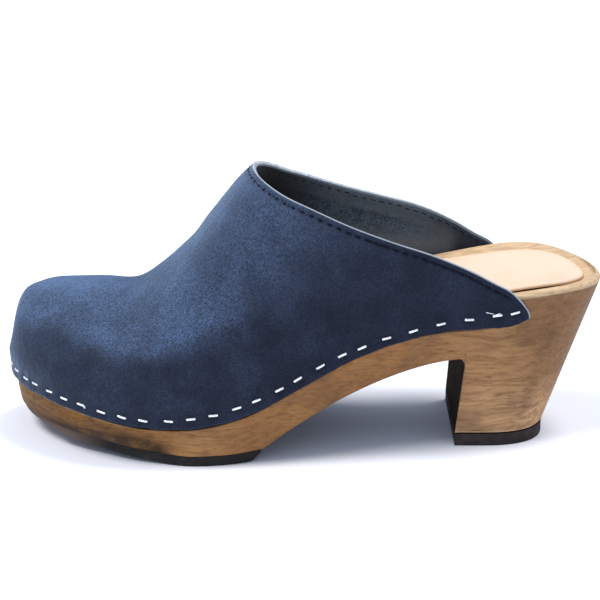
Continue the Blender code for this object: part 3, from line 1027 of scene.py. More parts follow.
    def make_rubber(self, name: str, colour: Triple) -> Material:
        """Near-black rubber with dusty scuffs and a fine tread of ribs underneath.

        Args:
            name: the material's name.
            colour: its clean colour.

        Returns:
            The material.
        """
        material, graph, shader, place = Coat(name, 0.85, 0.18).start()
        pores = graph.group(self.effects.pores, Vector=place, Scale=1300.0)
        soil = graph.group(self.effects.soil, Vector=place, Scale=90.0, Amount=0.5)
        dust = tuple(channel * 2.2 + 0.018 for channel in colour)
        axes = graph.axes(place)
        base = graph.blend(soil.outputs["Mask"], colour, dust)
        base = graph.blend(graph.span(axes[0], -0.072, -0.094, 0.0, 0.85), base, (0.190, 0.132, 0.102))
        graph.plug(shader, Base_Color=base)
        rib, cross = (
            graph.maths("SINE", graph.times(graph.maths(way, axes[0], axes[1]), TREAD_RIBS))
            for way in ("ADD", "SUBTRACT")
        )
        under = graph.span(axes[2], 0.0002, 0.0006, 1.0, 0.0)
        tread = graph.times(graph.maths("MAXIMUM", rib, cross), under)
        relief(graph, shader, graph.plus(tread, pores.outputs["Height"]), 0.45, 0.0005)
        return material

    def make_wire(self) -> Material:
        """Bright plain staple wire with faint draw marks.

        Returns:
            The material.
        """
        material, graph, shader, place = Coat("staple_wire", 0.38, 0.5, metallic=0.85).start()
        draw = graph.grain(place, (900.0, 900.0, 5000.0), 2.0)
        base = graph.ramp(draw, (0.3, (0.70, 0.71, 0.72)), (0.7, (0.93, 0.93, 0.93)))
        graph.plug(shader, Base_Color=base, Roughness=graph.span(draw, 0.3, 0.7, 0.30, 0.48))
        return material

    def make_thread(self) -> Material:
        """Twisted navy sewing thread.

        Returns:
            The material.
        """
        material, graph, shader, place = Coat("thread", 0.9, 0.05).start()
        twist = graph.grain(place, (2200.0, 2200.0, 3600.0), 2.0)
        base = graph.ramp(twist, (0.3, (0.003, 0.004, 0.008)), (0.75, (0.012, 0.015, 0.028)))
        graph.plug(shader, Base_Color=base)
        relief(graph, shader, twist, 0.5, 0.0002)
        return material


@dataclass(frozen=True)
class Crease:
    """A soft trough or ridge of the leather, straight in side view.

    start and end are places along the shoe and heights, depth is inwards, and side is None for both.
    """

    side: Side | None
    start: tuple[float, float]
    end: tuple[float, float]
    depth: float
    width: float

    def depth_at(self, side: Side, x: Array, z: Array) -> Array:
        """Finds how deep it presses the leather in.

        Args:
            side: the side that the places are on.
            x: places along the shoe.
            z: heights.

        Returns:
            Depths inwards.
        """
        if self.side not in (None, side):
            return np.zeros_like(x)
        a, b = np.array(self.start), np.array(self.end)
        run = b - a
        share = ((x - a[0]) * run[0] + (z - a[1]) * run[1]) / run.dot(run)
        t = np.clip(share, 0.0, 1.0)
        away = np.hypot(x - a[0] - t * run[0], z - a[1] - t * run[1])
        return self.depth * bump_of(away, self.width)


@dataclass(frozen=True)
class Patch:
    """A soft oval patch in side view.

    x and z are its middle, along and across its reach, and tilt is in degrees.
    """

    x: float
    z: float
    along: float
    across: float
    tilt: float
    strength: float

    def at(self, x: Array, z: Array) -> Array:
        """Finds how strong it is.

        Args:
            x: places along the shoe.
            z: heights.

        Returns:
            Its strength there.
        """
        turn = math.radians(self.tilt)
        run, rise = x - self.x, z - self.z
        ahead = (run * math.cos(turn) + rise * math.sin(turn)) / self.along
        aside = (rise * math.cos(turn) - run * math.sin(turn)) / self.across
        return self.strength * bump_of(np.hypot(ahead, aside), 1.0)


@dataclass
class Upper:
    """The leather upper: one stapled sheet with a wall, a stitched collar and soft creases."""

    band: float = 0.0080
    band_share: float = 0.35
    throat: float = 0.0990
    tail_round: float = 0.010
    toe_steps: int = 64
    vamp_steps: int = 44
    tail_steps: int = 84
    wall_steps: int = 72
    wall_crowd: float = 0.5
    stitch_line: float = 0.0026
    stitch_pitch: float = 0.0038
    stitch_length: float = 0.0027
    stitch_round: float = 0.00048
    stitch_flat: float = 0.6
    stitch_end: float = 0.0100
    stitch_short: float = 0.0012
    stitch_grows: float = 0.050
    stitch_lift: float = 0.00006
    inner_stitch: float = 0.5
    inner_lift: float = 0.00004
    stitch_shade: float = 0.12
    stitch_shade_wide: float = 0.0010
    staple_shade: float = 0.12
    staple_shade_wide: float = 0.0036
    groove: float = 0.00030
    groove_wide: float = 0.0009
    dent: float = 0.00042
    dent_wide: float = 0.0026
    puff: float = 0.00035
    puff_up: float = 0.0095
    puff_wide: float = 0.0050
    pin_wide: float = 0.0006
    band_reach: float = 2.5
    ragged: float = 0.00014
    ragged_long: float = 0.0021
    ragged_short: float = 0.00072
    ragged_mix: float = 0.7
    ragged_power: int = 12
    ragged_end: float = 0.2
    chunk: int = 2000

    nose: Table = Table(
        "x share",
        (0, 0.0),
        (1, 0.10),
        (2, 0.26),
        (3, 0.45),
        (4, 0.63),
        (5, 0.755),
        (6.5, 0.85),
        (9, 0.915),
        (12, 0.95),
        (16, 0.985),
        (20, 1.0),
    )
    instep: Table = Table(
        "x ridge fullness",
        (0, 58.6, 2.1),
        (18, 60.2, 2.05),
        (34, 60.8, 2.0),
        (46, 61.4, 2.0),
        (53, 63.0, 2.05),
        (59, 66.0, 2.1),
        (65, 70.3, 2.15),
        (72, 77.2, 2.2),
        (79, 85.8, 2.2),
        (86, 94.4, 2.2),
        (92, 102.0, 2.2),
        (99, 108.9, 2.2),
        (107, 114.8, 2.2),
        (117, 119.7, 2.2),
        (136, 124.5, 2.2),
        (168, 128.0, 2.2),
        (207, 129.0, 2.2),
    )
    topline: Table = Table(
        "x lateral medial",
        (99, 108.9, 108.9),
        (104, 106.1, 107.0),
        (111, 102.5, 103.7),
        (121, 98.4, 100.2),
        (136, 92.0, 95.3),
        (153, 85.7, 90.6),
        (168, 80.6, 86.2),
        (184, 73.7, 78.7),
        (194, 68.5, 72.6),
        (206, 63.6, 67.0),
    )
    # Along the shoe (x): the line below which the nap darkens, its softness, and the tone above and below it,
    # brushed nap with painted light from above.
    brush_and_light: Table = Table(
        "x line soft high low",
        (0, 44.0, 4.0, 0.61, 0.33),
        (6, 45.5, 4.0, 0.64, 0.31),
        (20, 47.5, 4.0, 0.64, 0.28),
        (35, 44.5, 4.0, 0.58, 0.25),
        (46, 42.3, 4.0, 0.55, 0.21),
        (61, 42.0, 4.0, 0.59, 0.19),
        (70, 44.0, 4.5, 0.59, 0.19),
        (81, 48.5, 6.0, 0.56, 0.20),
        (93, 55.0, 8.0, 0.51, 0.20),
        (103, 62.5, 10.0, 0.47, 0.18),
        (114, 69.5, 11.0, 0.42, 0.15),
        (125, 74.0, 11.0, 0.34, 0.12),
        (140, 76.0, 11.0, 0.26, 0.11),
        (165, 75.0, 11.0, 0.18, 0.11),
        (206, 62.0, 11.0, 0.15, 0.13),
    )
    # Painted light and shade in side view: the third is a painted highlight along the toe's crown, the others
    # paint light and shade on folds, throat and sides.
    light_and_shade_patches: tuple[Patch, ...] = (
        Patch(0.0480, 0.0460, 0.0120, 0.0040, -10.0, 0.06),
        Patch(0.0860, 0.0570, 0.0130, 0.0040, 28.0, 0.08),
        Patch(0.0260, 0.0612, 0.0260, 0.0028, 3.0, 0.28),
        Patch(0.1030, 0.1020, 0.0050, 0.0060, -60.0, 0.10),
        Patch(0.1010, 0.0655, 0.0140, 0.0070, -60.0, -0.10),
        Patch(0.1075, 0.0586, 0.0100, 0.0026, 39.0, 0.10),
        Patch(0.0965, 0.0560, 0.0050, 0.0022, -69.0, 0.07),
        Patch(0.1204, 0.0876, 0.0110, 0.0070, -30.0, 0.07),
    )
    creases: tuple[Crease, ...] = (
        Crease(None, (0.0480, 0.050), (0.0520, 0.075), 0.0007, 0.0070),
        Crease(Side.LATERAL, (0.0520, 0.060), (0.0700, 0.040), 0.0008, 0.0080),
        Crease(Side.LATERAL, (0.0300, 0.047), (0.0580, 0.042), -0.0009, 0.0075),
        Crease(Side.LATERAL, (0.0680, 0.048), (0.0940, 0.060), -0.0006, 0.0050),
        Crease(Side.LATERAL, (0.0780, 0.078), (0.0930, 0.052), 0.0006, 0.0060),
        Crease(Side.LATERAL, (0.0900, 0.092), (0.1040, 0.070), -0.0005, 0.0070),
        Crease(Side.LATERAL, (0.1250, 0.080), (0.1750, 0.062), 0.0006, 0.0090),
        Crease(Side.LATERAL, (0.1820, 0.053), (0.1960, 0.055), -0.0006, 0.0030),
        Crease(Side.MEDIAL, (0.0500, 0.062), (0.0720, 0.042), 0.0009, 0.0080),
        Crease(Side.MEDIAL, (0.0760, 0.080), (0.0980, 0.056), 0.0006, 0.0065),
        Crease(Side.MEDIAL, (0.1200, 0.084), (0.1700, 0.068), 0.0006, 0.0090),
    )

    def stations(self, side: Side) -> Array:
        """Sets out the columns of the skin.

        Args:
            side: the side of the foot.

        Returns:
            Places along the shoe.
        """
        toe = LAST.toe_places(self.toe_steps)
        vamp = np.linspace(toe[-1], self.throat, self.vamp_steps + 1)[1:]
        tail = Crowd.BOTH.places(self.throat, LAST.tail(side), self.tail_steps)[1:]
        return np.concatenate((toe, vamp, tail))

    def rise(self, x: Array) -> Array:
        """Heights of the ridge over the band that lies on the wood."""
        ridge = self.instep.at("ridge", x) - LAST.profile.at("edge", x) - self.band
        return ridge * self.nose.share("share", x - LAST.toe_end)

    def collar_turn(self, side: Side, x: Array) -> Array:
        """Finds how far round its section the leather goes before it is cut off.

        Args:
            side: the side of the foot.
            x: places along the shoe.

        Returns:
            Turns as section takes them.
        """
        tall = self.topline.at(side.value, x) - LAST.profile.at("edge", x)
        tall = tall * rounding((LAST.tail(side) - x) / self.tail_round, 2)
        climb = np.clip((tall - self.band) / np.maximum(self.rise(x), TINY), 0.0, 1.0)
        high = np.arcsin(climb ** (self.instep.share("fullness", x) / 2))
        low = self.band_share * (tall / self.band - 1)
        return np.where(x <= self.throat, math.pi / 2, np.where(tall < self.band, low, high))

    def section(self, side: Side, x: Array, turn: Array) -> Array:
        """Points on the outside of the leather.

        Args:
            side: the side of the foot.
            x: places along the shoe.
            turn: from -band_share to 0 up the band on the wood, then to a quarter turn over the arch.

        Returns:
            The points.
        """
        foot, far = (LAST.leather_line(edge, x) for edge in (side, side.other))
        crown = np.stack(((foot[..., 0] + far[..., 0]) / 2, LAST.plan.at("axis", x)), -1)
        power = 2 / self.instep.share("fullness", x)
        over = np.clip(turn, 0.0, math.pi / 2)
        reach = np.maximum(np.cos(over), 0.0) ** power
        low = LAST.profile.at("edge", x) + self.band * (1 + np.minimum(turn, 0.0) / self.band_share)
        flat = crown + (foot - crown) * reach[..., None]
        return raised(flat, low + self.rise(x) * np.sin(over) ** power)

    def half(self, side: Side) -> Array:
        """Makes one side of the skin, its lower edge cut a little unevenly.

        Args:
            side: the side of the foot.

        Returns:
            Points, columns along the shoe by steps up the wall.
        """
        x = self.stations(side)[:, None]
        share = np.linspace(0.0, 1.0, self.wall_steps + 1)[None, :]
        share = share * (1 + self.wall_crowd - self.wall_crowd * share)
        turn = -self.band_share + share * (self.collar_turn(side, x) + self.band_share)
        points = self.section(side, np.broadcast_to(x, turn.shape), turn)
        wave = np.sin(x / self.ragged_long + side.sign) + self.ragged_mix * np.sin(x / self.ragged_short)
        fade = soft_step((x - LAST.toe_end) / self.tail_round)
        fade = fade * soft_step((LAST.tail(side) - x) / self.tail_round - self.ragged_end)
        points[..., 2] += self.ragged * wave * fade * (1 - share) ** self.ragged_power
        return points

    def collar(self) -> Array:
        """Follows the cut top edge.

        Returns:
            Points from the outer tail over the throat to the inner tail.
        """
        cut = []
        for side in Side:
            x = Crowd.BOTH.places(self.throat, LAST.tail(side), 4 * self.tail_steps)
            cut.append(self.section(side, x, self.collar_turn(side, x)))
        return np.concatenate((cut[0][::-1], cut[1][1:]))

    def from_collar(self, points: Array) -> Array:
        """Measures from the cut top edge.

        Args:
            points: the points.

        Returns:
            Their distances from the edge.
        """
        edge = self.collar()
        flat = points.reshape(-1, 3)
        near = []
        for i in range(0, len(flat), self.chunk):
            near.append(np.linalg.norm(flat[i : i + self.chunk, None] - edge[None], axis=2).min(1))
        return np.concatenate(near).reshape(points.shape[:-1])

    def stitch_path(self) -> Array:
        """Follows the line of stitches below the cut edge.

        Returns:
            Points on the leather, from the outer tail round to the inner one.
        """
        paths = []
        for side in Side:
            points = self.half(side)
            path = []
            for column, distance in zip(points, self.from_collar(points)):
                under = np.nonzero(distance > self.stitch_line)[0]
                if not len(under) or under[-1] == self.wall_steps:
                    continue
                j = under[-1]
                t = (distance[j] - self.stitch_line) / (distance[j] - distance[j + 1])
                path.append(column[j] + t * (column[j + 1] - column[j]))
            path = np.array(path)
            edge = LAST.profile.at("edge", path[:, 0])
            paths.append(path[path[:, 2] > edge + self.stitch_end])
        return np.concatenate((paths[0][::-1], paths[1]))

    def stitch_places(self) -> tuple[Array, Array]:
        """Spaces the stitches evenly along their line.

        Returns:
            Their middles and the directions along them.
        """
        path = self.stitch_path()
        run = run_along(path)
        count = int(run[-1] / self.stitch_pitch)
        middles = (np.arange(count) + 0.5) * run[-1] / count

        def read(at: Array) -> Array:
            """Points of the path at lengths along it."""
            return np.stack([np.interp(at, run, path[:, k]) for k in range(3)], -1)

        ahead = read(middles + self.stitch_length / 2) - read(middles - self.stitch_length / 2)
        return read(middles), ahead / np.linalg.norm(ahead, axis=1, keepdims=True)

    def press(self, side: Side, points: Array, staples: Array) -> Array:
        """Finds how deep creases, stitching and staples press the leather in.

        Args:
            side: the side of the foot.
            points: points of its skin.
            staples: middles of the staples.

        Returns:
            Depths inwards.
        """
        x, z = points[..., 0], points[..., 2]
        deep = sum(crease.depth_at(side, x, z) for crease in self.creases)
        deep = deep + self.groove * bump_of(self.from_collar(points) - self.stitch_line, self.groove_wide)
        for middle in staples:
            deep = deep + self.dent * bump_of(np.linalg.norm(points - middle, axis=-1), self.dent_wide)
        above = z - LAST.profile.at("edge", x)
        return deep - bump_of(above - self.puff_up, self.puff_wide) * self.puff

    def haze(self, points: Array) -> Array:
        """Finds the nap's tone with painted light: palest over toe and instep, darkest under the line and
        behind, partly brushed nap and partly painted light from above.

        Args:
            points: points of the skin.

        Returns:
            The tone with painted light there.
        """
        x, z = points[..., 0], points[..., 2]
        high, low = self.brush_and_light.share("high", x), self.brush_and_light.share("low", x)
        soft = self.brush_and_light.at("soft", x)
        over = soft_step((z - self.brush_and_light.at("line", x) + soft) / (self.band_reach * soft))
        return low + (high - low) * over + sum(patch.at(x, z) for patch in self.light_and_shade_patches)

    def shade(self, points: Array, staples: Array) -> Array:
        """Finds how much darker the nap is along the stitches and round the staples.

        Args:
            points: points of the skin.
            staples: middles of the staples.

        Returns:
            The darkening there.
        """
        sewn = bump_of(self.from_collar(points) - self.stitch_line, self.stitch_shade_wide)
        round_staples = self.staple_shade * spots(points, staples, self.staple_shade_wide)
        return np.maximum(self.stitch_shade * sewn, round_staples)

    def build(self, staples: Array) -> tuple[Piece, BVHTree]:
        """Skins both sides, presses in the creases and gives the sheet its wall.

        Args:
            staples: middles of the staples, on the leather.

        Returns:
            The object and a search tree of the leather's outside.
        """
        middles, ahead = self.stitch_places()
        reach = ahead * self.stitch_pitch / 2
        ends = np.concatenate((middles - reach, middles + reach))
        joined = bmesh.new()
        for name in ("deep", "haze", "from_collar", "pinhole"):
            joined.verts.layers.float.new(name)
        for side in Side:
            points = self.half(side)
            skin = grid_skin(
                points,
                deep=self.press(side, points, staples),
                haze=self.haze(points) - self.shade(points, staples),
                from_collar=self.from_collar(points),
                pinhole=spots(points, ends, self.pin_wide),
            )
            part = mesh_of("half", skin)
            joined.from_mesh(part)
            bpy.data.meshes.remove(part)
        face_up(close_skin(joined))
        deep = joined.verts.layers.float["deep"]
        for vert, normal in [(vert, vert.normal.copy()) for vert in joined.verts]:
            vert.co -= normal * vert[deep]
        joined.normal_update()
        tree = BVHTree.FromBMesh(joined)
        piece = made_object("nubuck_upper", joined)
        wall = walled(piece, LAST.leather)
        wall.use_even_offset = True
        wall.material_offset = 1
        wall.material_offset_rim = 2
        return piece, tree

    def stitches(self, tree: BVHTree) -> Piece:
        """Sews thread on both faces of the leather, a short bead for each stitch.

        Args:
            tree: a search tree of the leather's outside.

        Returns:
            One object with all stitches.
        """
        sewn = bmesh.new()
        outside = (self.stitch_lift, self.stitch_round)
        inside = (-LAST.leather - self.inner_lift, self.stitch_round * self.inner_stitch)
        for middle, ahead in zip(*self.stitch_places()):
            spot, normal, _, _ = tree.find_nearest(Vector(middle))
            turn = laid(level(Vector(ahead), normal), normal)
            grown = float(soft_step((middle[0] - self.throat) / self.stitch_grows))
            length = self.stitch_short + (self.stitch_length - self.stitch_short) * grown
            for lift, wide in (outside, inside):
                size = Matrix.Diagonal((length / 2, wide, wide * self.stitch_flat, 1.0))
                place = Matrix.Translation(spot + normal * lift) @ turn @ size
                bmesh.ops.create_uvsphere(sewn, u_segments=8, v_segments=6, radius=1.0, matrix=place)
        bmesh.ops.recalc_face_normals(sewn, faces=sewn.faces)
        return made_object("collar_stitches", sewn)


@dataclass(frozen=True)
class LooseWire:
    """An end of wire that lies by a staple.

    at is the staple's place in the row, ahead and aside the wire's shift from it, lean is in degrees, and
    length and breadth are shares of a staple's own.
    """

    at: int
    ahead: float
    aside: float
    lean: float
    length: float
    breadth: float

    def place(self, lift: float) -> Matrix:
        """Finds where it lies, seen from its staple.

        Args:
            lift: how far it lies over the staple.

        Returns:
            The turn, the shift and the size against a staple.
        """
        move = Matrix.Translation((self.ahead, self.aside, lift))
        turn = Matrix.Rotation(math.radians(self.lean), 4, "Z")
        return move @ turn @ Matrix.Diagonal((self.length, self.breadth, 1.0, 1.0))


@dataclass
class Staples:
    """The wire staples along the lower edge of the leather."""

    length: float = 0.0043
    wide: float = 0.00085
    thick: float = 0.00050
    edge_round: float = 0.00016
    cuts: int = 6
    straight: float = 0.62
    bend: float = 0.00075
    proud: float = 0.35
    lean: float = 3.0
    stray: float = 0.0003
    loose_lift: float = 0.00005
    slope_step: float = 0.001
    sharp: float = 50.0
    end: float = 0.0050
    inner: int = 25
    inner_rise: float = 0.0036
    inner_places: int = 400
    seed: int = 7

    outer: Table = Table(
        "x rise",
        (-0.4, 3.6),
        (1.5, 3.7),
        (5.1, 3.8),
        (9.7, 3.6),
        (14.6, 3.7),
        (21.1, 3.6),
        (27.6, 3.3),
        (34.3, 3.5),
        (42.7, 3),
        (50.8, 3),
        (58.5, 3),
        (68.3, 3.4),
        (76.7, 4),
        (85.2, 4.1),
        (93.7, 4.5),
        (101.3, 4.5),
        (109.9, 4.1),
        (116.9, 4.2),
        (125.1, 4.3),
        (133.5, 4.1),
        (141, 3.4),
        (150.3, 3.4),
        (161.2, 3.1),
        (171.6, 3.4),
        (181.8, 3.9),
        (193.4, 5),
        (199.6, 4.8),
    )

    loose: tuple[LooseWire, ...] = (
        LooseWire(7, 0.0021, -0.0004, -62.0, 0.30, 0.8),
        LooseWire(25, -0.0004, 0.0002, 13.0, 0.85, 1.0),
        LooseWire(25, -0.0030, 0.0013, -17.0, 0.90, 0.35),
    )

    def places(self) -> list[tuple[Side, float, float]]:
        """Sets out the staples: by the table on the outer side, evenly on the inner side.

        Returns:
            The side, the place along the shoe and the rise over the leather's edge of each.
        """
        found = [(Side.LATERAL, x * MILLI, rise * MILLI) for x, rise in self.outer.values]
        x = Crowd.START.places(LAST.toe_end, LAST.tail(Side.MEDIAL), self.inner_places)
        run = run_along(LAST.leather_line(Side.MEDIAL, x))
        pitch = (run[-1] - self.end) / (self.inner - 0.5)
        at = np.interp(pitch * (np.arange(self.inner) + 0.5), run, x)
        return found + [(Side.MEDIAL, float(place), self.inner_rise) for place in at]

    def middles(self) -> Array:
        """Finds the middles of the staples.

        Returns:
            Points on the outside of the leather.
        """
        rows = []
        for side, x, rise in self.places():
            rows.append((*LAST.leather_line(side, x), LAST.profile.at("edge", x) + rise))
        return np.array(rows, float)

    def build(self, tree: BVHTree) -> Piece:
        """Lays a bent bar of wire at every place.

        Args:
            tree: a search tree of the leather's outside.

        Returns:
            One object with all staples.
        """
        wires = bmesh.new()
        pattern = self.pattern()
        drift = np.random.default_rng(self.seed)

        def lay(place: Matrix) -> None:
            """Adds one bar.

            Args:
                place: where it lies.
            """
            joined = len(wires.verts)
            wires.from_mesh(pattern)
            wires.verts.ensure_lookup_table()
            bmesh.ops.transform(wires, matrix=place, verts=wires.verts[joined:])

        step = self.slope_step
        for index, ((side, x, _), middle) in enumerate(zip(self.places(), self.middles())):
            out = side.sign * LAST.outward(side, x)
            rise = LAST.profile.at("edge", x + step) - LAST.profile.at("edge", x - step)
            along = Vector((out[1], -out[0], float(rise) / (2 * step) * out[1])).normalized()
            spot, normal, _, _ = tree.find_nearest(Vector(middle))
            along = level(along, normal)
            along.rotate(Matrix.Rotation(math.radians(drift.normal(0.0, self.lean)), 3, normal))
            spot = spot + along * drift.normal(0.0, self.stray) + normal * self.thick * self.proud
            place = Matrix.Translation(spot) @ laid(along, normal)
            lay(place)
            for wire in self.loose:
                if wire.at == index:
                    lay(place @ wire.place(self.loose_lift))
        bpy.data.meshes.remove(pattern)
        bmesh.ops.recalc_face_normals(wires, faces=wires.faces)
        return made_object("staple_wires", wires, self.sharp)

    def pattern(self) -> bpy.types.Mesh:
        """Makes one bar, its length along the first axis, whose ends turn down into the leather.

        Returns:
            Its mesh.
        """
        bar = bmesh.new()
        size = Matrix.Diagonal((self.length, self.wide, self.thick, 1.0))
        bmesh.ops.create_cube(bar, size=1.0, matrix=size)
        rounded = {"affect": "EDGES", "segments": 2, "profile": 0.5, "material": -1, "clamp_overlap": True}
        bmesh.ops.bevel(bar, geom=bar.edges[:], offset=self.edge_round, **rounded)
        half = self.length / 2
        long = [edge for edge in bar.edges if abs(edge.verts[0].co.x - edge.verts[1].co.x) > half]
        bmesh.ops.subdivide_edges(bar, edges=long, cuts=self.cuts, use_grid_fill=True)
        for vert in bar.verts:
            past = max(abs(vert.co.x) / half - self.straight, 0.0) / (1 - self.straight)
            vert.co.z -= self.bend * past**2
        return mesh_of("staple_pattern", bar)


@dataclass(frozen=True)
class Foot:
    """Where a ring of the wood meets the underside.

    x is its place on the rim and corners are its bottom corners. rise and lean point from the underside
    into the wood, upwards and to the heel.
    """

    x: float
    corners: dict[Side, Array]
    rise: float = 1.0
    lean: float = 0.0


@dataclass
class WoodSole:
    """The carved wooden sole: foot bed, rounded rim, flanks, arch, breast and heel in one skin."""

    edge_round: float = 0.0009
    # Wear and light: the rim and bed are worn pale wood with painted light, and the middle of the rim's
    # rounding gets a painted highlight.
    rim_wear_and_light: float = 0.74
    rim_wear_and_highlight: float = 0.14
    bed_wear_and_light: float = 0.78
    heel_edge_wear: float = 0.35
    rim_line: float = 0.0008
    rim_fade: float = 0.0020
    # Painted shade: a dark line just under the rim.
    rim_dark: float = 0.35
    ledge_drop: float = 0.0004
    # A painted highlight on the wood's top edge under the leather, towards the toe.
    ledge_light: float = 0.40
    ledge_light_to: float = 0.042
    ledge_light_run: float = 0.020
    # Painted shade under the leather's lower edge, behind the toe.
    ledge_dark: float = 0.36
    ledge_line: float = 0.0006
    # Painted shade in the gap where the leather stands off the wood near its tail.
    wing_gap: float = 0.75
    wing_gap_x: float = 0.1815
    wing_gap_reach: float = 0.0095
    fillet: float = 0.0030
    breast_spread: float = 0.0040
    tail_round: float = 0.010
    sharp: float = 50.0
    toe_steps: int = 44
    forefoot_steps: int = 30
    arch_steps: int = 44
    fillet_steps: int = 8
    breast_steps: int = 14
    heel_steps: int = 40
    rim_steps: int = 7
    flank_steps: int = 12
    corner_steps: int = 4
    across: int = 30
    # Darker patches: the first three are painted shade towards the lower edge of the toe flank, the fifth to
    # seventh painted shade and smudging at the heel's back, and the fourth and last small darker marks.
    smudges: tuple[Patch, ...] = (
        Patch(0.0330, 0.0068, 0.0220, 0.0040, -8.0, 1.40),
        Patch(0.0440, 0.0066, 0.0150, 0.0050, -4.0, 1.40),
        Patch(0.0550, 0.0055, 0.0120, 0.0064, 0.0, 1.50),
        Patch(0.0400, 0.0150, 0.0120, 0.0012, -8.0, 0.40),
        Patch(0.2080, 0.0220, 0.0035, 0.0080, -8.0, 0.35),
        Patch(0.2140, 0.0450, 0.0045, 0.0130, -10.0, 0.40),
        Patch(0.2030, 0.0500, 0.0060, 0.0040, 0.0, 0.30),
        Patch(0.1900, 0.0300, 0.0080, 0.0020, 6.0, 0.15),
    )

    def feet(self) -> list[Foot]:
        """Sets out the rings from the toe to the back of the heel.

        Returns:
            Where each ring meets the underside.
        """
        toe = LAST.toe_places(self.toe_steps)
        fore = np.linspace(toe[-1], LAST.arch_from, self.forefoot_steps + 1)[1:]
        start = LAST.breast_top - self.fillet
        arch = np.linspace(LAST.arch_from, start, self.arch_steps + 1)[1:]
        feet = []
        for x in np.concatenate((toe, fore, arch)):
            flats = {side: LAST.sole_edge(side, x) for side in Side}
            corners = {side: np.array((*flat, LAST.underside(flat[0]))) for side, flat in flats.items()}
            feet.append(Foot(float(x), corners))
        roof = float(LAST.underside(start))
        for turn in np.linspace(0.0, math.pi / 2, self.fillet_steps + 1)[1:]:
            x = start + self.fillet * math.sin(turn)
            z = roof - self.fillet * (1 - math.cos(turn))
            corners = {side: LAST.breast_corner(side, x, z, math.sin(turn)) for side in Side}
            feet.append(Foot(x, corners, math.cos(turn), math.sin(turn)))
        top = roof - self.fillet
        for t in np.linspace(0.0, 1.0, self.breast_steps + 1)[1:-1]:
            x = LAST.breast_top + t * (LAST.breast_foot - LAST.breast_top)
            z = top + t * (LAST.heel_base - top)
            corners = {side: LAST.breast_corner(side, x, z) for side in Side}
            feet.append(Foot(LAST.breast_top + self.breast_spread * t, corners, 0.0, 1.0))
        begin = LAST.breast_top + self.breast_spread
        for t in Crowd.END.places(0.0, 1.0, self.heel_steps):
            x = LAST.breast_foot + t * (LAST.heel_foot_back - LAST.breast_foot)
            corners = {side: LAST.heel_foot(side, x, LAST.heel_base) for side in Side}
            feet.append(Foot(begin + t * (LAST.heel_end - begin), corners))
        return feet

    def flank(self, side: Side, foot: Foot) -> tuple[list[Array], list[float], list[float]]:
        """One side of a ring, from the rim down to the underside, how pale each point is from wear and
        painted light, and its painted shade.

        Args:
            side: the side of the foot.
            foot: where the ring meets the underside.

        Returns:
            The points, their wear and painted light, and their painted shade, from 0 to 1.
        """
        x, corner = foot.x, foot.corners[side]
        bed, edge = float(LAST.rim_height(side, x)), float(LAST.profile.at("edge", x))
        top, low = bed - LAST.rim_round, edge - LAST.gap
        ends = min(max((x - LAST.tail(side)) / self.tail_round + 1, 0.0), 1.0)
        hold = edge + ends * (top - edge)
        wall, face = LAST.outline(side, x), LAST.outward(side, x)
        points, worn, shade_marks = [], [], []

        def put(flat: Array, z: float, wear_and_light: float, shade_paint: float = 0.0) -> None:
            """Adds one point.

            Args:
                flat: its place in plan.
                z: its height.
                wear_and_light: how pale it is from wear and painted light.
                shade_paint: how much painted shade it has.
            """
            points.append(np.array((flat[0], flat[1], z)))
            worn.append(wear_and_light)
            shade_marks.append(shade_paint)

        def down(
            z: float, out: float = 0.0, bend: float = 0.0, wear_and_light: float = 0.0, shade_paint: float = 0.0
        ) -> None:
            """Adds a point of the flank.

            Args:
                z: its height.
                out: how far the flank steps out at its top.
                bend: how much it bulges.
                wear_and_light: how pale the point is from wear and painted light.
                shade_paint: how much painted shade it has.
            """
            t = max(hold - z, 0.0) / (hold - corner[2])
            t *= 1 - 2 * bend * (1 - t)
            put(wall + t * (corner[:2] - wall) + out * (1 - t) * face, z, wear_and_light, shade_paint)

        # The rim's rounding: worn pale wood with painted light, and a painted highlight in its middle.
        for turn in np.linspace(math.pi / 2, 0.0, self.rim_steps):
            flat = wall - LAST.rim_round * (1 - math.cos(turn)) * face
            wear_and_light = self.rim_wear_and_light + self.rim_wear_and_highlight * math.sin(2 * turn)
            put(flat, top + LAST.rim_round * math.sin(turn), wear_and_light)
        third = (top - low) / 3
        # A painted shade line just under the rim.
        down(top - min(self.rim_line, third / 3), shade_paint=self.rim_dark)
        for drop in (min(self.rim_fade, third / 2), third, 2 * third, 3 * third):
            down(top - drop)
        form = (float(LAST.flank.at("ledge", x)), float(LAST.flank.share("belly", x)))
        rear = float(soft_step((x - self.ledge_light_to) / self.ledge_light_run))
        gap = self.wing_gap * float(bump_of(x - self.wing_gap_x, self.wing_gap_reach))
        begin, stop = low - self.ledge_drop, corner[2] + self.edge_round * foot.rise
        # Under the leather's edge: a painted highlight towards the toe, painted shade further back, and
        # painted shade in the gap near the tail.
        down(begin, *form, self.ledge_light * (1 - rear), self.ledge_dark * rear * (1 - ends) + gap)
        steps = np.linspace(begin - self.ledge_line, stop, self.flank_steps)
        down(steps[0], *form, shade_paint=gap)
        for z in (steps[0] - min(self.ledge_line, (steps[0] - steps[1]) / 2), *steps[1:]):
            down(z, *form)
        into = np.array((foot.lean, 0.0, foot.rise))
        inward = np.array((*(foot.rise * face + np.array((0.0, foot.lean * side.sign))), 0.0))
        for turn in np.linspace(0.0, math.pi / 2, self.corner_steps):
            spot = corner + self.edge_round * ((1 - math.sin(turn)) * into - (1 - math.cos(turn)) * inward)
            put(spot[:2], spot[2], self.heel_edge_wear if x > LAST.breast_top else 0.0)
        return points, worn, shade_marks

    def build(self) -> Piece:
        """Skins the rings and closes the seam.

        Returns:
            The object.
        """

        def ring(outer: Sequence, bottom: Array, inner: Sequence, bed: Array) -> Array:
            """Goes round one ring and back to its first point."""
            return np.concatenate((outer, bottom, inner[::-1], bed, outer[:1]))

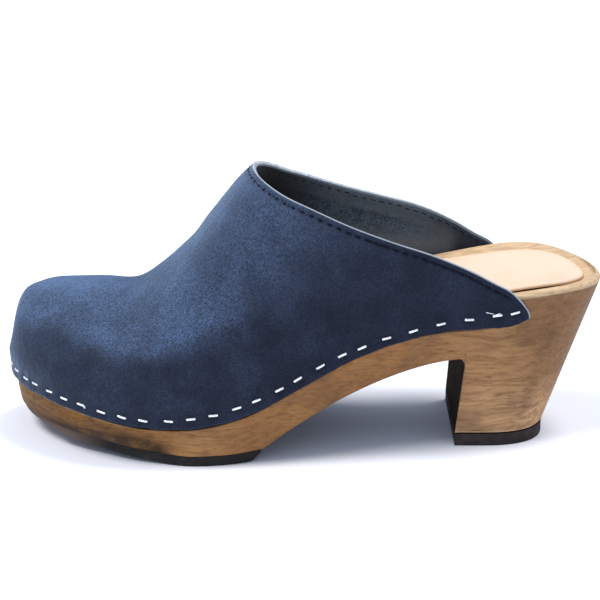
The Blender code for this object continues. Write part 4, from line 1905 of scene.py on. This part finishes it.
        shares = np.linspace(0.0, 1.0, self.across + 1)[1:-1, None]
        none = np.zeros(len(shares))
        rings, wear_and_light, soil, dark = [], [], [], []
        for foot in self.feet():
            outer, outer_worn, outer_shade_marks = self.flank(Side.LATERAL, foot)
            inner, inner_worn, inner_shade_marks = self.flank(Side.MEDIAL, foot)
            bottom = outer[-1] + shares * (inner[-1] - outer[-1])
            flat = inner[0][:2] + shares * (outer[0][:2] - inner[0][:2])
            lowest = np.arange(len(outer)) == len(outer) - 1
            rings.append(ring(outer, bottom, inner, raised(flat, LAST.bed_height(flat))))
            wear_and_light.append(ring(outer_worn, none, inner_worn, none + self.bed_wear_and_light))
            soil.append(ring(outer_shade_marks, none, inner_shade_marks, none))
            dark.append(ring(lowest, none + 1, lowest, none))
        rings, wear_and_light, soil, dark = (np.array(rows) for rows in (rings, wear_and_light, soil, dark))
        # soil holds the painted shade of the flanks; the smudges add painted shade and smudging.
        soil = soil + sum(patch.at(rings[..., 0], rings[..., 2]) for patch in self.smudges)
        skin = grid_skin(rings, worn=wear_and_light, smudge=np.minimum(soil, 1.0))
        row_of, column_of = (skin.verts.layers.int[name] for name in ("row", "column"))
        # Faces of the breast and underside take the painted shade material.
        for face in skin.faces:
            face.material_index = int(min(dark[vert[row_of], vert[column_of]] for vert in face.verts))
        return made_object("carved_wood_sole", close_skin(skin), self.sharp)


@dataclass
class Sock:
    """The leather sock on the foot bed, a little lifted along its outer edge at the heel."""

    thick: float = 0.0012
    lift: float = 0.0005
    lift_from: float = 0.192
    lift_start: float = 0.012
    lift_to: float = 0.224
    lift_end: float = 0.016
    lift_wide: float = 0.005
    edge_round: float = 0.00035
    weld: float = 0.00004
    steps: int = 30
    across: int = 36

    margin: Table = Table(
        "x lateral medial",
        (0, 4.6, 4.6),
        (100, 4.6, 4.6),
        (160, 5.8, 6.4),
        (200, 6.8, 8.4),
        (238.7, 7.0, 7.0),
    )

    def build(self) -> Piece:
        """Lays the sheet on the foot bed and gives it its thickness and a rounded edge.

        Returns:
            The object.
        """
        toe = LAST.toe_places(self.steps)
        middle = np.linspace(toe[-1], LAST.heel_end - LAST.heel_round, self.steps + 1)[1:]
        heel = Crowd.END.places(middle[-1], LAST.heel_end, self.steps)[1:]
        x = np.concatenate((toe, middle, heel))
        outer, inner = (LAST.rim(side, x, -self.margin.at(side.value, x)) for side in Side)
        flat = between(outer, inner, Crowd.BOTH.places(0.0, 1.0, self.across))

        def away(edge: Array) -> Array:
            """Distances of the places from an edge."""
            return np.linalg.norm(flat[:, :, None] - edge[None, None], axis=-1).min(-1)

        along = soft_step((flat[..., 0] - self.lift_from) / self.lift_start)
        along = along * soft_step((self.lift_to - flat[..., 0]) / self.lift_end)
        high = LAST.bed_height(flat) + LAST.gap + self.thick
        high = high + self.lift * along * bump_of(away(outer), self.lift_wide)
        skin = grid_skin(raised(flat, high), from_edge=away(np.concatenate((outer, inner[::-1]))))
        face_up(close_skin(skin))
        piece = made_object("leather_sock", skin)
        walled(piece, self.thick)
        soften(piece, self.edge_round)
        piece.modifiers.new("weld", "WELD").merge_threshold = self.weld
        return piece


@dataclass
class Rubber:
    """The rubber under the forefoot and the lift under the heel."""

    inset: float = 0.0012
    lip_thick: float = 0.0016
    toe_thick: float = 0.0030
    sole_thick: float = 0.0040
    lip_to: float = 0.0200
    step_run: float = 0.0020
    end_x: float = 0.1034
    end_slant: float = 0.0040
    end_thick: float = 0.0006
    lift_thick: float = 0.0050
    edge_round: float = 0.00045
    edge_angle: float = 50.0
    sharp: float = 35.0
    toe_steps: int = 48
    back_steps: int = 27
    end_steps: int = 4
    heel_steps: int = 40
    across: int = 14

    def thickness(self, x: Array) -> Array:
        """Follows the rubber under the forefoot: a lip, a step, a taper to full, and a slanted end.

        Args:
            x: places along the shoe.

        Returns:
            Thicknesses.
        """
        step = np.clip((x - self.lip_to) / self.step_run, 0.0, 1.0)
        taper = np.clip((x - self.lip_to) / (LAST.flat_from - self.lip_to), 0.0, 1.0)
        full = self.lip_thick + (self.toe_thick - self.lip_thick) * step
        full = full + (self.sole_thick - self.toe_thick) * taper
        end = np.clip((self.end_x - x) / self.end_slant, 0.0, 1.0)
        return self.end_thick + (full - self.end_thick) * end

    def plate(self, name: str, edges: Sequence[Array], top: Heights, bottom: Heights) -> Piece:
        """A plate between two edges in plan, closed all round.

        Args:
            name: the piece's name.
            edges: places along its outer edge and along its inner edge.
            top: gives heights of its top at places along the shoe.
            bottom: gives heights of its underside.

        Returns:
            The object.
        """
        flat = between(*edges, np.linspace(0.0, 1.0, self.across + 1))
        high, low = (raised(flat, heights(flat[..., 0])) for heights in (top, bottom))
        skin = close_skin(grid_skin(np.concatenate((high, low[:, ::-1], high[:, :1]), 1)))
        bmesh.ops.holes_fill(skin, edges=[edge for edge in skin.edges if edge.is_boundary])
        bmesh.ops.recalc_face_normals(skin, faces=skin.faces)
        piece = made_object(name, skin, self.sharp)
        soften(piece, self.edge_round, self.edge_angle)
        return piece

    def forefoot(self) -> Piece:
        """Makes the rubber under the forefoot.

        Returns:
            The object.
        """
        toe = LAST.toe_places(self.toe_steps)
        back = np.linspace(toe[-1], self.end_x - self.end_slant, self.back_steps + 1)[1:]
        end = np.linspace(back[-1], self.end_x, self.end_steps + 1)[1:]
        x = np.concatenate((toe, back, end))
        edges = [LAST.sole_edge(side, x, self.inset) for side in Side]

        def top(at: Array) -> Array:
            """Heights just under the wood."""
            return LAST.underside(at) - LAST.gap

        return self.plate("rubber_outsole", edges, top, lambda at: top(at) - self.thickness(at))

    def heel(self) -> Piece:
        """Makes the lift under the heel.

        Returns:
            The object.
        """
        x = Crowd.END.places(LAST.breast_foot, LAST.heel_foot_back, self.heel_steps)
        edges = [np.array([LAST.heel_foot(side, at, 0.0)[:2] for at in x]) for side in Side]
        return self.plate("rubber_lift", edges, lambda at: np.full_like(at, self.lift_thick), np.zeros_like)


@dataclass
class Studio:
    """The pale floor, the soft light and the camera."""

    distance: float = 0.514
    elevation: float = 16.5
    focal_px: float = 1259.0
    frame_px: float = 600.0
    sensor: float = 36.0
    near_clip: float = 0.01
    aim_x: float = 0.1179
    aim_z: float = 0.0528
    floor_size: float = 30.0
    floor_glow: float = 0.018
    glow_colour: Triple = (0.93, 0.95, 1.0)
    sky_strength: float = 0.90
    sun_angle: float = 24.0
    sun_colour: Triple = (1.0, 0.985, 0.96)
    suns: tuple[tuple[str, float, Triple], ...] = (
        ("toe_sun", 2.00, (-0.60, -0.24, 1.2)),
        ("heel_sun", 1.85, (0.42, 0.18, 1.2)),
    )

    def floor(self) -> None:
        """A wide pale floor, faintly cool and uneven, lit a little from below as a light table is."""
        sheet = bmesh.new()
        bmesh.ops.create_grid(sheet, x_segments=2, y_segments=2, size=self.floor_size)
        made = linked("studio_floor", mesh_of("studio_floor", sheet))
        material, graph, shader, place = Coat("pale_floor", 0.8, 0.1).start()
        cloud = graph.noise(place, 3.0, 2.0)
        base = graph.ramp(cloud, (0.3, (0.925, 0.940, 0.985)), (0.7, (0.935, 0.950, 0.995)))
        glow = {"Emission_Color": self.glow_colour, "Emission_Strength": self.floor_glow}
        graph.plug(shader, Base_Color=base, **glow)
        made.data.materials.append(material)

    def lights(self) -> None:
        """A cool pale sky, brighter overhead, and two soft suns from above, one towards each end."""
        world = bpy.data.worlds.new("studio_sky")
        bpy.context.scene.world = world
        world.use_nodes = True
        graph = Graph(world.node_tree)
        up = graph.axes(graph.add("TexCoord").outputs["Generated"])[2]
        sky = graph.ramp(up, (0.0, (0.22, 0.290, 0.50)), (0.4, (0.38, 0.45, 0.62)), (1.0, (0.70, 0.76, 0.88)))
        graph.plug(world.node_tree.nodes["Background"], Color=sky, Strength=self.sky_strength)
        for name, energy, place in self.suns:
            soft = bpy.data.lights.new(name, "SUN")
            soft.energy = energy
            soft.angle = math.radians(self.sun_angle)
            soft.color = self.sun_colour
            lamp = linked(name, soft)
            lamp.location = place
            lamp.rotation_euler = (-lamp.location).to_track_quat("-Z", "Y").to_euler()

    def camera(self) -> None:
        """The camera, level across and a little above the shoe."""
        lens = bpy.data.cameras.new("studio_camera")
        lens.sensor_width = self.sensor
        lens.lens = self.focal_px / self.frame_px * self.sensor
        lens.clip_start = self.near_clip
        held = linked("studio_camera", lens)
        turn = math.radians(self.elevation)
        aim = Vector((self.aim_x, 0.0, self.aim_z)) + LAST.shift()
        held.location = aim + self.distance * Vector((0.0, -math.cos(turn), math.sin(turn)))
        held.rotation_euler = (math.pi / 2 - turn, 0.0, 0.0)
        bpy.context.scene.camera = held

    def build(self) -> None:
        """Sets the stage."""
        self.floor()
        self.lights()
        self.camera()
        bpy.context.scene.view_settings.view_transform = "Standard"


def main() -> None:
    """Builds the pieces in order and dresses them."""
    logging.basicConfig(level=logging.INFO, format="%(name)s: %(message)s")
    finishes = Finishes(Effects())
    staples = Staples()
    leather = Upper()
    upper, tree = leather.build(staples.middles())
    settle(upper, "nubuck", ["upper"], finishes.nubuck, finishes.flesh, finishes.raw_edge)
    settle(leather.stitches(tree), "nubuck", [], finishes.thread)
    wires = [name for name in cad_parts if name.startswith("staple_")]
    settle(staples.build(tree), "staple_steel", wires, finishes.wire)
    settle(WoodSole().build(), "wood", ["wood_sole"], finishes.wood, finishes.shade_paint)
    settle(Sock().build(), "sock_leather", ["insole"], finishes.sock)
    rubber = Rubber()
    settle(rubber.forefoot(), "rubber", ["forefoot_outsole"], finishes.rubber)
    settle(rubber.heel(), "rubber", ["heel_lift"], finishes.lift)
    Studio().build()


if __name__ == "__main__":
    main()
